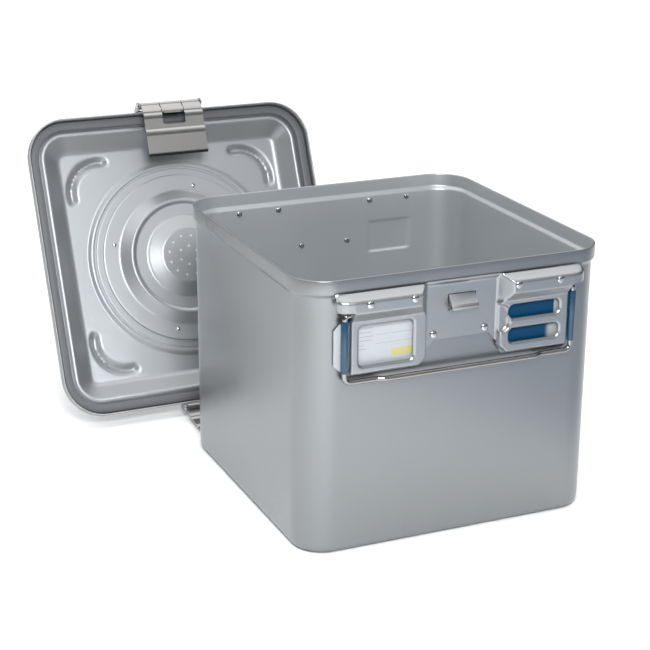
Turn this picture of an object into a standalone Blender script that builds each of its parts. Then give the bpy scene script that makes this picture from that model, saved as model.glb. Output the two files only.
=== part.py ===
# Half size container with a deep tub and a loose lid, built in metres.
# The front faces -Y and the tub stands on the ground plane, centred on the origin.
import math

import bmesh
import bpy
from mathutils import Matrix, Vector

# Clearances and sheet thicknesses
GAP = 0.0003
FIT = 0.0003
TUB_WALL = 0.0018
PLATE_SHEET = 0.0012
LID_SHEET = 0.0015
RETAINER_SHEET = 0.0012
CARD_SHEET = 0.0005
LATCH_SHEET = 0.0014

# Tub
RIM_WIDTH = 0.300
TUB_HEIGHT = 0.256
RIM_CORNER_RADIUS = 0.034
COLLAR_STEP = 0.0028
COLLAR_HEIGHT = 0.0125
COLLAR_TAPER = 0.0035
WALL_TAPER = 0.0008
BOTTOM_RADIUS = 0.008
RIM_ROUND = 0.0005
CORNER_STEPS = 8
ROUND_STEPS = 5

# Where the flat walls are, measured from the middle of the tub
RIM_HALF = RIM_WIDTH / 2
WALL_FACE = RIM_HALF - COLLAR_STEP
RECESS_RISE = 0.0010
RECESS_WALL = 0.0009
CARD_GAP = 0.0003

# Handle plate, heights above the ground
PLATE_FACE = WALL_FACE + GAP
PLATE_OVERLAP = 0.0025
ROOF_DROP = 0.0028
BAND_HEIGHT = 0.0125
SLOPE_HEIGHT = 0.0085
WEB_DROP = 0.0285
POCKET_DROP = 0.0210
TAPER_BOTTOM = TUB_HEIGHT - COLLAR_HEIGHT - COLLAR_TAPER
PLATE_TOP = TAPER_BOTTOM + PLATE_OVERLAP
BAND_TOP = PLATE_TOP - ROOF_DROP
BAND_BOTTOM = BAND_TOP - BAND_HEIGHT
FACE_TOP = BAND_BOTTOM - SLOPE_HEIGHT
WEB_BOTTOM = FACE_TOP - WEB_DROP
POCKET_BOTTOM = WEB_BOTTOM - POCKET_DROP
BAND_DEPTH = 0.0138
FACE_DEPTH = 0.0060
ROOF_DEPTH = COLLAR_STEP + GAP
SLOT_DEPTH = 0.0022
WEB_LEFT = 0.0330
WEB_RIGHT = 0.0366
POCKET_HALF = 0.1065
EAR_REACH = 0.0140
EAR_HALF = POCKET_HALF + EAR_REACH
EAR_RISE = 0.0022
EAR_BOTTOM = BAND_BOTTOM + EAR_RISE
EAR_SHARES = (1.0, 0.93, 0.76, 0.50)
EAR_PLACE_SHARES = (0.0, 0.45, 0.80, 1.0)
FACET_RUN = 0.0082
SIDE_RUN = 0.0010
CHAMFER_RUN = 0.0062
WEB_CHAMFER = 0.0080
NOTCH_RUN = 0.0086
NOTCH_DEPTH = 0.0026
NOTCH_DROP = 0.0030
NOTCH_TOP = FACE_TOP - NOTCH_DROP
PLATE_ROUND = 0.0016
EAR_ROWS = 4
EDGE_COLUMN = 7

# Windows in the pockets
WINDOW_INSET = 0.0075
WINDOW_START = 0.0140
WINDOW_WIDTH = POCKET_HALF - WINDOW_INSET - WEB_LEFT - WINDOW_START
WINDOW_PLACE = POCKET_HALF - WINDOW_INSET - WINDOW_WIDTH / 2
WINDOW_HEIGHT = 0.0368
WINDOW_DROP = 0.0226
WINDOW_MIDDLE = FACE_TOP - WINDOW_DROP
WINDOW_RADIUS = 0.0042
SLOT_INSET = 0.0083
SLOT_START = 0.0106
SLOT_WIDTH = POCKET_HALF - SLOT_INSET - WEB_RIGHT - SLOT_START
SLOT_PLACE = POCKET_HALF - SLOT_INSET - SLOT_WIDTH / 2
SLOT_HEIGHT = 0.0132
SLOT_RADIUS = 0.0048
SLOT_DROP = 0.0106
SLOT_PITCH = 0.0222
UPPER_SLOT = FACE_TOP - SLOT_DROP
LOWER_SLOT = UPPER_SLOT - SLOT_PITCH

# Rivets
RIVET_RADIUS = 0.0034
RIVET_SHANK = 0.0015
RIVET_HEAD = 0.0016
RIVET_HOLE = RIVET_SHANK + GAP
SPACER_RADIUS = 0.0030
RIVET_DROP = 0.0042
RIVET_RISE = 0.0052
RIVET_UPPER = BAND_TOP - RIVET_DROP
RIVET_LOWER = WEB_BOTTOM + RIVET_RISE
RIVET_START = 0.0139
RIVET_INSET = 0.0140
RIVET_EDGE = 0.0077
RIVET_INNER_X = WEB_RIGHT + RIVET_START
RIVET_OUTER_X = POCKET_HALF - RIVET_INSET
RIVET_LOWER_X = WEB_LEFT - RIVET_EDGE
RIVET_STEPS = 10

# Catch on the handle plate
CATCH_HALF = 0.0142
CATCH_DROP = 0.0065
CATCH_HEIGHT = 0.0135
CATCH_TOP = BAND_TOP - CATCH_DROP
CATCH_ROLL = 0.0036
CATCH_BORE = 0.0016
CATCH_REACH = 0.0062
CATCH_ROLL_Z = CATCH_TOP - CATCH_HEIGHT
CATCH_RELIEF = 0.0009

# Wire handle
WIRE_RADIUS = 0.0021
GRIP_RADIUS = 0.0031
BAIL_SIDE_GAP = 0.0010
BAIL_HALF = POCKET_HALF + PLATE_SHEET + GRIP_RADIUS + BAIL_SIDE_GAP
BAIL_PIVOT_DROP = 0.0025
BAIL_PIVOT_Z = BAND_BOTTOM - BAIL_PIVOT_DROP
BAIL_OUT = PLATE_FACE + SLOT_DEPTH + GRIP_RADIUS
BAR_CLEARANCE = 0.0032
BAIL_DROP = BAIL_PIVOT_Z - POCKET_BOTTOM + WIRE_RADIUS + BAR_CLEARANCE
BAIL_BEND = 0.0058
BAIL_TIP_LENGTH = 0.0045
BAIL_TIP = POCKET_HALF - BAIL_TIP_LENGTH
BAIL_JOG = 0.0030
BAIL_JOG_INSET = 0.0373
BAIL_JOG_HALF = BAIL_HALF - BAIL_JOG_INSET
BAIL_JOG_RUN = 0.0060
GRIP_TOP = 0.0045
GRIP_BOTTOM = 0.0092
WIRE_STEPS = 10
BEND_STEPS = 4

# Label card and tag plate
CARD_FACE = WALL_FACE + RECESS_RISE + CARD_GAP
CARD_REACH = 0.0140
CARD_OUTER_X = POCKET_HALF + CARD_REACH
CARD_START = 0.0049
CARD_INNER_X = WEB_RIGHT + CARD_START
CARD_HEIGHT = 0.0425
CARD_CHAMFER = 0.0055
CARD_RISE = 0.0047
CARD_Z = POCKET_BOTTOM + CARD_RISE + CARD_HEIGHT / 2
TAG_END = 0.0035
TAG_OUTER_X = POCKET_HALF - TAG_END
TAG_HEIGHT = 0.0400
TAG_SHEET = 0.0008

# Lid, in its own frame: x to the right, y up along the lid, z towards its inner side
LID_OVERHANG = 0.0087
LID_HALF = RIM_HALF + LID_OVERHANG
LID_CORNER_RADIUS = RIM_CORNER_RADIUS + LID_OVERHANG
LID_LEAN = math.radians(24.84)
LID_X = -0.0989
LIP_WIDTH = 0.0022
LIP_ROUND = 0.0007
CHANNEL_INNER = 0.0126
CHANNEL_DEPTH = 0.0102
FLANGE_ROUND = 0.0030
CREST_OUTER = 0.0150
CREST_INNER = 0.0182
CREST_DEPTH = 0.0080
SLOPE_INNER = 0.0330
SLOPE_DEPTH = 0.0222
PANEL_EDGE = 0.0372
PANEL_DEPTH = 0.0240
GASKET_GAP = 0.0006
GASKET_OUTER = LIP_WIDTH + GASKET_GAP
GASKET_INNER = CHANNEL_INNER - GASKET_GAP
GASKET_FACE = 0.0063
GASKET_ROUND = 0.0009

# Grooves pressed into the corners of the lid panel
ARC_INSET = 0.0787
ARC_MIDDLE = LID_HALF - ARC_INSET
ARC_RADIUS = 0.033
ARC_HALF_WIDTH = 0.0058
ARC_DEPTH = 0.0050
ARC_TIP_SHARE = 0.3
ARC_TAPER_SHARE = 1.3
ARC_START = math.radians(-9)
ARC_END = math.radians(99)
ARC_STATIONS = 11

# Filter seat and retaining plate
SEAT_DEPTH = 0.0212
SEAT_MARGIN = 0.0140
SEAT_SLOPE = 0.0045
SEAT_FOOT = LID_HALF - PANEL_EDGE - SEAT_MARGIN
SEAT_RADIUS = SEAT_FOOT - SEAT_SLOPE
SEAT_GROOVE = 0.0008
SEAT_LAND = 0.0025
SEAT_GROOVE_WIDTH = 0.0030
SEAT_GROOVE_OUTER = SEAT_RADIUS - SEAT_LAND
SEAT_GROOVE_INNER = SEAT_GROOVE_OUTER - SEAT_GROOVE_WIDTH
PANEL_LAP = 0.0012
PANEL_HOLE = SEAT_FOOT - PANEL_LAP
DISC_STEPS = 48
RETAINER_MARGIN = 0.0120
RETAINER_RADIUS = SEAT_RADIUS - RETAINER_MARGIN
RETAINER_RIM = 0.0182
RETAINER_RING = RETAINER_RADIUS - RETAINER_RIM
RETAINER_SLOPE = 0.0113
RETAINER_CREST = RETAINER_RING - RETAINER_SLOPE
RETAINER_CREST_RISE = 0.0090
RETAINER_CREST_WIDTH = 0.0040
RETAINER_STEP = RETAINER_CREST - RETAINER_CREST_WIDTH
RETAINER_STEP_DROP = 0.0016
RETAINER_LEDGE = 0.0135
RETAINER_INNER = RETAINER_STEP - RETAINER_LEDGE
RETAINER_CONE = 0.0145
RETAINER_DISC = RETAINER_INNER - RETAINER_CONE
RETAINER_DISC_RISE = 0.0138
RETAINER_ROUND = 0.0012
FILTER_INSET = 0.0020
FILTER_RADIUS = RETAINER_RADIUS - FILTER_INSET
FILTER_SHEET = 0.0005
FILTER_FACE = SEAT_DEPTH - FIT - FILTER_SHEET
RETAINER_FACE = FILTER_FACE - FIT - RETAINER_SHEET
HOLE_RADIUS = 0.0017
HOLE_MARGIN = 0.0077
HOLE_PITCH = 0.0118
HOLE_OUTER_RING = RETAINER_DISC - HOLE_MARGIN
HOLE_INNER_RING = HOLE_OUTER_RING - HOLE_PITCH
HOLE_OUTER_START = math.radians(15)
HOLE_INNER_START = math.radians(23)
VENT_RADIUS = 0.0030
VENT_RING = 0.018
VENT_PITCH = 0.014
VENT_RINGS = (VENT_RING, VENT_RING + VENT_PITCH, VENT_RING + VENT_PITCH * 2)
VENT_COUNTS = (6, 8, 12)
STUD_INSET = 0.0070
STUD_RING = RETAINER_RING + STUD_INSET
STUD_START = math.radians(74.5)
STUD_RADIUS = 0.0023
STUD_SHANK = 0.0011
STUD_HEAD = 0.0015

# Latches and their brackets
LATCH_HALF = 0.0332
PIVOT_OUT = 0.0042
PIVOT_Y = LID_HALF + PIVOT_OUT
PIVOT_Z = 0.0085
PIN_RADIUS = 0.0016
BARREL_RADIUS = 0.0034
LATCH_LENGTH = 0.0543
LATCH_OFFSET = 0.0085
LATCH_RIDGE = 0.0016
LATCH_WINDOW_HALF = 0.0128
LATCH_WINDOW_TOP = 0.0095
LATCH_WINDOW_BOTTOM = 0.0232
LATCH_WINDOW_RADIUS = 0.0030
LATCH_HEM = 0.0030
LATCH_FOLD = math.radians(90)
LATCH_OPEN = math.radians(-30)
LATCH_REACH = math.hypot(LATCH_LENGTH, LATCH_OFFSET)
EAR_SHEET = 0.0014
EAR_LAP = 0.0004
EAR_OUTER = 0.0046
EAR_BACK = -0.0075
BRACKET_SHEET = 0.0014
BRACKET_RIVET_X = 0.024
BRACKET_RIVET_RADIUS = 0.0020
BRACKET_RIVET_HEAD = 0.0014

# The lid leans behind the tub: its open latch clears the ground and swings clear of the wall
STAND_GAP = 0.0006
SWING_GAP = 0.0005
LATCH_DIP = -LATCH_OPEN - LID_LEAN
LEAN_SHARE = math.sin(LID_LEAN)
STAND_SHARE = math.cos(LID_LEAN)
PIVOT_HEIGHT = STAND_GAP + math.sin(LATCH_DIP) * LATCH_LENGTH + math.cos(LATCH_DIP) * LATCH_OFFSET
PIVOT_BACK = WALL_FACE - WALL_TAPER + LATCH_REACH + SWING_GAP
LID_Y = PIVOT_BACK + LEAN_SHARE * PIVOT_Y + STAND_SHARE * PIVOT_Z
LID_Z = PIVOT_HEIGHT + STAND_SHARE * PIVOT_Y - LEAN_SHARE * PIVOT_Z

COLOURS = {
    "aluminium": (0.62, 0.64, 0.66, 1.0),
    "steel": (0.72, 0.72, 0.71, 1.0),
    "chrome": (0.80, 0.80, 0.80, 1.0),
    "blue": (0.05, 0.22, 0.45, 1.0),
    "card": (0.92, 0.92, 0.92, 1.0),
    "gasket": (0.17, 0.19, 0.21, 1.0),
    "filter": (0.85, 0.85, 0.83, 1.0),
}

for old in list(bpy.data.objects):
    bpy.data.objects.remove(old, do_unlink=True)

PARTS = bpy.data.collections.new("container_parts")
CUTTERS = bpy.data.collections.new("container_cutters")
bpy.context.scene.collection.children.link(PARTS)
bpy.context.scene.collection.children.link(CUTTERS)

LID_UP = Vector((0.0, LEAN_SHARE, STAND_SHARE))
LID_OUT = Vector((0.0, -STAND_SHARE, LEAN_SHARE))
LID_FRAME = Matrix((
    (1.0, 0.0, 0.0, LID_X),
    (0.0, LID_UP.y, LID_OUT.y, LID_Y),
    (0.0, LID_UP.z, LID_OUT.z, LID_Z),
    (0.0, 0.0, 0.0, 1.0),
))
BACK_TURN = Matrix.Rotation(math.pi, 4, "Z")


# Return a material with the named colour, one for each piece.
def paint(name, colour, metallic, roughness):
    material = bpy.data.materials.new(name)
    material.use_nodes = True
    shader = material.node_tree.nodes["Principled BSDF"]
    shader.inputs["Base Color"].default_value = COLOURS[colour]
    shader.inputs["Metallic"].default_value = metallic
    shader.inputs["Roughness"].default_value = roughness
    return material


# Turn a bmesh into an object, placed by its frame or with its origin at a given point.
def make_object(name, mesh_data, colour, metallic=1.0, roughness=0.4, frame=None, origin=None):
    bmesh.ops.recalc_face_normals(mesh_data, faces=mesh_data.faces)
    if origin is not None:
        bmesh.ops.transform(mesh_data, matrix=frame, verts=mesh_data.verts)
        bmesh.ops.translate(mesh_data, vec=-Vector(origin), verts=mesh_data.verts)
    mesh = bpy.data.meshes.new(name)
    mesh_data.to_mesh(mesh)
    mesh_data.free()
    item = bpy.data.objects.new(name, mesh)
    PARTS.objects.link(item)
    if origin is not None:
        item.location = origin
    elif frame is not None:
        item.matrix_basis = frame
    mesh.materials.append(paint(name + "_paint", colour, metallic, roughness))
    return item


# Turn a bmesh into a hidden cutting tool.
def make_cutter(name, mesh_data, frame=None):
    bmesh.ops.recalc_face_normals(mesh_data, faces=mesh_data.faces)
    mesh = bpy.data.meshes.new(name)
    mesh_data.to_mesh(mesh)
    mesh_data.free()
    item = bpy.data.objects.new(name, mesh)
    CUTTERS.objects.link(item)
    if frame is not None:
        item.matrix_basis = frame
    item.hide_render = True
    item.display_type = "WIRE"
    return item


# Add a boolean between a part and a tool.
def combine(target, tool, operation):
    step = target.modifiers.new(tool.name, "BOOLEAN")
    step.operation = operation
    step.solver = "EXACT"
    step.object = tool
    return step


# Give the points of a rounded square of the given half size, anticlockwise.
def rounded_square(half_x, half_y, radius, steps=CORNER_STEPS):
    points = []
    corners = ((1, 1, 0.0), (-1, 1, 0.5), (-1, -1, 1.0), (1, -1, 1.5))
    for side_x, side_y, turn in corners:
        centre_x = side_x * (half_x - radius)
        centre_y = side_y * (half_y - radius)
        for step in range(steps + 1):
            angle = math.pi * (turn + 0.5 * step / steps)
            points.append((centre_x + radius * math.cos(angle), centre_y + radius * math.sin(angle)))
    return points


# Join rings of points into a skin, and close it or cap it at both ends.
def skin(mesh_data, rings, capped=True, closed=False):
    rows = [[mesh_data.verts.new(point) for point in ring] for ring in rings]
    count = len(rows[0])
    pairs = list(zip(rows, rows[1:]))
    if closed:
        pairs.append((rows[-1], rows[0]))
    for lower, upper in pairs:
        for index in range(count):
            following = (index + 1) % count
            mesh_data.faces.new((lower[index], lower[following], upper[following], upper[index]))
    if capped and not closed:
        mesh_data.faces.new(rows[0])
        mesh_data.faces.new(rows[-1])


# Add a prism with the given outline in x and z, between two depths along y.
def add_prism_y(mesh_data, outline, near, far):
    skin(mesh_data, [[(x, near, z) for x, z in outline], [(x, far, z) for x, z in outline]])


# Add a prism with the given outline in y and z, between two places along x.
def add_prism_x(mesh_data, outline, left, right):
    skin(mesh_data, [[(left, y, z) for y, z in outline], [(right, y, z) for y, z in outline]])


# Add a prism with the given outline in x and y, between two heights.
def add_prism_z(mesh_data, outline, low, high):
    skin(mesh_data, [[(x, y, low) for x, y in outline], [(x, y, high) for x, y in outline]])


# Give the points of a circle.
def circle(radius, steps, middle=(0.0, 0.0)):
    points = []
    for step in range(steps):
        angle = 2 * math.pi * step / steps
        points.append((middle[0] + radius * math.cos(angle), middle[1] + radius * math.sin(angle)))
    return points


# Add a solid turned about the local z axis from a profile that starts and ends on the axis.
def add_turned(mesh_data, profile, steps, middle=(0.0, 0.0)):
    rings = [[(x, y, z) for x, y in circle(radius, steps, middle)] for radius, z in profile[1:-1]]
    rows = [[mesh_data.verts.new(point) for point in ring] for ring in rings]
    for lower, upper in zip(rows, rows[1:]):
        for index in range(steps):
            following = (index + 1) % steps
            mesh_data.faces.new((lower[index], lower[following], upper[following], upper[index]))
    for row, end in ((rows[0], profile[0]), (rows[-1], profile[-1])):
        tip = mesh_data.verts.new((middle[0], middle[1], end[1]))
        for index in range(steps):
            mesh_data.faces.new((row[index], row[(index + 1) % steps], tip))


# Give a path with its corners rounded, from points that each carry a bend radius.
def rounded_path(points, steps):
    path = [Vector(points[0][0])]
    for before, middle, after in zip(points, points[1:], points[2:]):
        corner = Vector(middle[0])
        to_before = (Vector(before[0]) - corner).normalized()
        to_after = (Vector(after[0]) - corner).normalized()
        reach = middle[1]
        for step in range(steps + 1):
            share = step / steps
            start = corner + to_before * reach * (1 - share) ** 2
            path.append(start + to_after * reach * share ** 2)
    path.append(Vector(points[-1][0]))
    return path


# Add a round bar along a path that starts sideways, with flat ends.
def add_wire(mesh_data, path, radius, steps):
    rings = []
    flat = Vector((0.0, 1.0, 0.0))
    for index, point in enumerate(path):
        before = path[max(index - 1, 0)]
        after = path[min(index + 1, len(path) - 1)]
        along = (after - before).normalized()
        flat = (flat - along * flat.dot(along)).normalized()
        across = along.cross(flat)
        turns = [2 * math.pi * step / steps for step in range(steps)]
        spokes = [flat * math.cos(turn) + across * math.sin(turn) for turn in turns]
        rings.append([point + spoke * radius for spoke in spokes])
    skin(mesh_data, rings)


# Give the depth at which the web follows the taper under the collar.
def web_depth(height):
    return max(0.0, height - TAPER_BOTTOM) / COLLAR_TAPER * COLLAR_STEP


# Tub: one deep drawn shell with a widened collar around its top.
def build_tub():
    foot = COLLAR_STEP + WALL_TAPER
    inner_round = BOTTOM_RADIUS - TUB_WALL
    rings = []
    for step in range(ROUND_STEPS + 1):
        angle = 0.5 * math.pi * step / ROUND_STEPS
        rings.append((foot + BOTTOM_RADIUS * (1 - math.sin(angle)), BOTTOM_RADIUS * (1 - math.cos(angle))))
    rings.append((COLLAR_STEP, TAPER_BOTTOM))
    rings.append((0.0, TAPER_BOTTOM + COLLAR_TAPER))
    rings.append((0.0, TUB_HEIGHT - RIM_ROUND))
    rings.append((RIM_ROUND, TUB_HEIGHT))
    rings.append((TUB_WALL - RIM_ROUND, TUB_HEIGHT))
    rings.append((TUB_WALL, TUB_HEIGHT - RIM_ROUND))
    rings.append((TUB_WALL, TAPER_BOTTOM + COLLAR_TAPER + TUB_WALL / 4))
    rings.append((COLLAR_STEP + TUB_WALL, TAPER_BOTTOM + TUB_WALL / 4))
    for step in range(ROUND_STEPS, -1, -1):
        angle = 0.5 * math.pi * step / ROUND_STEPS
        inset = foot + TUB_WALL + inner_round * (1 - math.sin(angle))
        rings.append((inset, TUB_WALL + inner_round * (1 - math.cos(angle))))
    shell = bmesh.new()
    loops = []
    for inset, height in rings:
        half = RIM_HALF - inset
        outline = rounded_square(half, half, max(RIM_CORNER_RADIUS - inset, RIM_ROUND))
        loops.append([(x, y, height) for x, y in outline])
    skin(shell, loops)
    tub = make_object("tub_shell", shell, "aluminium")
    for name, frame in (("front", Matrix.Identity(4)), ("back", BACK_TURN)):
        pad = bmesh.new()
        outline = window_outline(-WINDOW_PLACE, WINDOW_MIDDLE, WINDOW_WIDTH + RECESS_RISE * 2,
                                 WINDOW_HEIGHT + RECESS_RISE * 2, WINDOW_RADIUS + RECESS_RISE)
        add_prism_y(pad, outline, -(WALL_FACE - TUB_WALL / 2), -(WALL_FACE + RECESS_RISE))
        combine(tub, make_cutter(name + "_recess_pad", pad, frame), "UNION")
        hollow = bmesh.new()
        outline = window_outline(-WINDOW_PLACE, WINDOW_MIDDLE, WINDOW_WIDTH - RECESS_RISE,
                                 WINDOW_HEIGHT - RECESS_RISE, WINDOW_RADIUS)
        floor = -(WALL_FACE + RECESS_RISE - RECESS_WALL)
        add_prism_y(hollow, outline, -(WALL_FACE - TUB_WALL * 2), floor)
        combine(tub, make_cutter(name + "_recess_hollow", hollow, frame), "DIFFERENCE")
        bores = bmesh.new()
        for x, z, depth in rivet_places():
            outline = circle(RIVET_HOLE, RIVET_STEPS, (x, z))
            add_prism_y(bores, outline, -(WALL_FACE - TUB_WALL * 3), -(WALL_FACE + TUB_WALL))
        combine(tub, make_cutter(name + "_rivet_bores", bores, frame), "DIFFERENCE")
    return tub


# Give a rounded rectangle in x and z.
def window_outline(middle_x, middle_z, width, height, radius):
    outline = rounded_square(width / 2, height / 2, radius, ROUND_STEPS)
    return [(middle_x + x, middle_z + z) for x, z in outline]


# Give the place of each rivet and the depth of the sheet that it holds.
def rivet_places():
    places = []
    for x in (-RIVET_OUTER_X, -RIVET_INNER_X, RIVET_INNER_X, RIVET_OUTER_X):
        places.append((x, RIVET_UPPER, BAND_DEPTH))
    for x in (-RIVET_LOWER_X, RIVET_LOWER_X):
        places.append((x, RIVET_LOWER, 0.0))
    return places


# Handle plate: a sheet pressed into two pockets beside a flat web.
# Each row holds its height, pocket depth, side run, how far its foot moves out, and notch run.
def plate_rows():
    corner = CHAMFER_RUN
    notch = NOTCH_RUN
    rise = PLATE_ROUND
    return (
        (PLATE_TOP, ROOF_DEPTH, FACET_RUN, 0.0, 0.0),
        (BAND_TOP + rise / 3, BAND_DEPTH - rise, FACET_RUN, 0.0, 0.0),
        (BAND_TOP - rise / 2, BAND_DEPTH, FACET_RUN, 0.0, 0.0),
        (EAR_BOTTOM, BAND_DEPTH, FACET_RUN, 0.0, 0.0),
        (BAND_BOTTOM + rise / 2, BAND_DEPTH, FACET_RUN, 0.0, 0.0),
        (BAND_BOTTOM - rise / 2, BAND_DEPTH - rise, FACET_RUN * 0.85, 0.0, 0.0),
        (FACE_TOP, FACE_DEPTH, SIDE_RUN * 3, 0.0, 0.0),
        (NOTCH_TOP, FACE_DEPTH, SIDE_RUN, 0.0, 0.0),
        (NOTCH_TOP - rise * 1.6, FACE_DEPTH, SIDE_RUN, 0.0, notch * 0.7),
        (NOTCH_TOP - rise * 4, FACE_DEPTH, SIDE_RUN, 0.0, notch),
        (WEB_BOTTOM + rise * 4, FACE_DEPTH, SIDE_RUN, 0.0, notch),
        (WEB_BOTTOM + rise * 1.6, FACE_DEPTH, SIDE_RUN, 0.0, notch * 0.7),
        (WEB_BOTTOM, FACE_DEPTH, SIDE_RUN, 0.0, 0.0),
        (WEB_BOTTOM - WEB_CHAMFER, FACE_DEPTH, SIDE_RUN, 0.0, 0.0),
        (POCKET_BOTTOM + CHAMFER_RUN * 1.4, FACE_DEPTH, SIDE_RUN, 0.0, 0.0),
        (POCKET_BOTTOM + rise * 1.5, FACE_DEPTH, SIDE_RUN, corner - rise, 0.0),
        (POCKET_BOTTOM + rise / 2, FACE_DEPTH - rise, SIDE_RUN, corner, 0.0),
        (POCKET_BOTTOM, 0.0, SIDE_RUN, corner, 0.0),
    )


# Give the columns of one row on one side of the plate, as pairs of x and depth.
def plate_columns(row, side):
    height, depth, run, shift, notch = row
    web = WEB_RIGHT if side > 0 else WEB_LEFT
    foot = web + shift
    base = web_depth(height)
    cut = notch if side > 0 else 0.0
    low = min(NOTCH_DEPTH, depth) if cut else depth
    near = cut if cut else FACET_RUN + PLATE_ROUND
    far = near + PLATE_ROUND
    edge = max(depth - PLATE_ROUND / 2, 0.0)
    return (
        (0.0, base),
        (web - WEB_CHAMFER, base),
        (foot, base),
        (foot + run, low),
        (foot + near, low),
        (foot + far, depth),
        (POCKET_HALF - PLATE_ROUND, depth),
        (POCKET_HALF, edge),
    )


# Press the sheet, then thicken it and cut its windows and holes.
def build_plate(name, frame):
    sheet = bmesh.new()
    rows = plate_rows()
    web_row = [index for index, row in enumerate(rows) if row[0] >= WEB_BOTTOM][-1]
    last = len(rows) - 1
    for side in (-1, 1):
        grid = []
        for row in rows:
            columns = plate_columns(row, side)
            places = [(side * x, -(PLATE_FACE + depth), row[0]) for x, depth in columns]
            grid.append([sheet.verts.new(place) for place in places])
        ears = []
        for index in range(EAR_ROWS):
            line = [grid[index][EDGE_COLUMN]]
            least = web_depth(rows[index][0])
            for place, share in zip(EAR_PLACE_SHARES[1:], EAR_SHARES[1:]):
                depth = max(rows[index][1] * share, least)
                x = side * (POCKET_HALF + (EAR_HALF - POCKET_HALF) * place)
                line.append(sheet.verts.new((x, -(PLATE_FACE + depth), rows[index][0])))
            ears.append(line)
        for index in range(last):
            first = 0 if index < web_row else 2
            for column in range(first, EDGE_COLUMN):
                corners = (grid[index + 1][column], grid[index + 1][column + 1],
                           grid[index][column + 1], grid[index][column])
                add_sheet_face(sheet, corners, side)
        for index in range(EAR_ROWS - 1):
            for column in range(len(EAR_SHARES) - 1):
                corners = (ears[index + 1][column], ears[index + 1][column + 1],
                           ears[index][column + 1], ears[index][column])
                add_sheet_face(sheet, corners, side)
        walls = {}
        for index in range(EAR_ROWS, last):
            x = side * (POCKET_HALF + SIDE_RUN / 2)
            walls[index] = sheet.verts.new((x, -(PLATE_FACE + SLOT_DEPTH), rows[index][0]))
        for index in range(EAR_ROWS, last - 1):
            corners = (grid[index + 1][EDGE_COLUMN], walls[index + 1],
                       walls[index], grid[index][EDGE_COLUMN])
            add_sheet_face(sheet, corners, side)
        corners = (grid[last][EDGE_COLUMN], walls[last - 1], grid[last - 1][EDGE_COLUMN])
        add_sheet_face(sheet, corners, side)
        add_sheet_face(sheet, (grid[web_row + 1][2], grid[web_row][2], grid[web_row][1]), side)
    bmesh.ops.remove_doubles(sheet, verts=sheet.verts, dist=FIT / 10)
    loose = [vert for vert in sheet.verts if not vert.link_faces]
    bmesh.ops.delete(sheet, geom=loose, context="VERTS")
    bmesh.ops.triangulate(sheet, faces=sheet.faces)
    bmesh.ops.solidify(sheet, geom=sheet.faces, thickness=-PLATE_SHEET)
    bmesh.ops.triangulate(sheet, faces=sheet.faces)
    plate = make_object(name, sheet, "aluminium", 1.0, 0.38, frame)
    deep = PLATE_FACE + BAND_DEPTH + PLATE_SHEET * 2
    shallow = PLATE_FACE - PLATE_SHEET
    tools = bmesh.new()
    outline = window_outline(-WINDOW_PLACE, WINDOW_MIDDLE, WINDOW_WIDTH, WINDOW_HEIGHT, WINDOW_RADIUS)
    add_prism_y(tools, outline, -shallow, -deep)
    for height in (UPPER_SLOT, LOWER_SLOT):
        outline = window_outline(SLOT_PLACE, height, SLOT_WIDTH, SLOT_HEIGHT, SLOT_RADIUS)
        add_prism_y(tools, outline, -shallow, -deep)
    for x, z, depth in rivet_places():
        add_prism_y(tools, circle(RIVET_HOLE, RIVET_STEPS, (x, z)), -shallow, -deep)
    relief_low = CATCH_ROLL_Z - CATCH_ROLL - CATCH_RELIEF
    relief_high = CATCH_TOP + CATCH_RELIEF
    relief = CATCH_HALF + CATCH_RELIEF
    outline = ((-relief, relief_low), (relief, relief_low), (relief, relief_high), (-relief, relief_high))
    add_prism_y(tools, outline, -shallow, -deep)
    for side in (-1, 1):
        outline = circle(WIRE_RADIUS + GAP, WIRE_STEPS, (-BAIL_OUT, BAIL_PIVOT_Z))
        inner = side * (POCKET_HALF - PLATE_SHEET * 2)
        outer = side * (POCKET_HALF + PLATE_SHEET * 2)
        add_prism_x(tools, outline, inner, outer)
    combine(plate, make_cutter(name + "_windows", tools, frame), "DIFFERENCE")
    return plate


# Add one face of the sheet, turned so that it faces away from the wall.
def add_sheet_face(sheet, corners, side):
    sheet.faces.new(corners if side > 0 else tuple(reversed(corners)))


# Rivets: a domed head outside, a shank through the wall and a domed head inside.
def build_rivets(name, frame):
    for number, (x, z, depth) in enumerate(rivet_places(), 1):
        outside = PLATE_FACE + depth + PLATE_SHEET + FIT
        inside = WALL_FACE - TUB_WALL - GAP - WALL_TAPER / 5
        profile = [(0.0, outside + RIVET_HEAD)]
        profile.append((RIVET_RADIUS * 0.55, outside + RIVET_HEAD * 0.82))
        profile.append((RIVET_RADIUS * 0.9, outside + RIVET_HEAD * 0.4))
        profile.append((RIVET_RADIUS, outside))
        profile.append((RIVET_SHANK, outside))
        if depth > 0.0:
            profile.append((RIVET_SHANK, PLATE_FACE + depth - FIT))
            profile.append((SPACER_RADIUS, PLATE_FACE + depth - FIT))
            profile.append((SPACER_RADIUS, WALL_FACE + FIT))
            profile.append((RIVET_SHANK, WALL_FACE + FIT))
        profile.append((RIVET_SHANK, inside))
        profile.append((RIVET_RADIUS * 0.85, inside))
        profile.append((RIVET_RADIUS * 0.6, inside - RIVET_HEAD * 0.6))
        profile.append((0.0, inside - RIVET_HEAD * 0.7))
        rivet = bmesh.new()
        add_turned(rivet, profile, RIVET_STEPS)
        stand = Matrix.Translation((x, 0.0, z)) @ Matrix.Rotation(math.pi / 2, 4, "X")
        label = name + "_rivet_" + str(number)
        make_object(label, rivet, "aluminium", 1.0, 0.3, frame @ stand)


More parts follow.
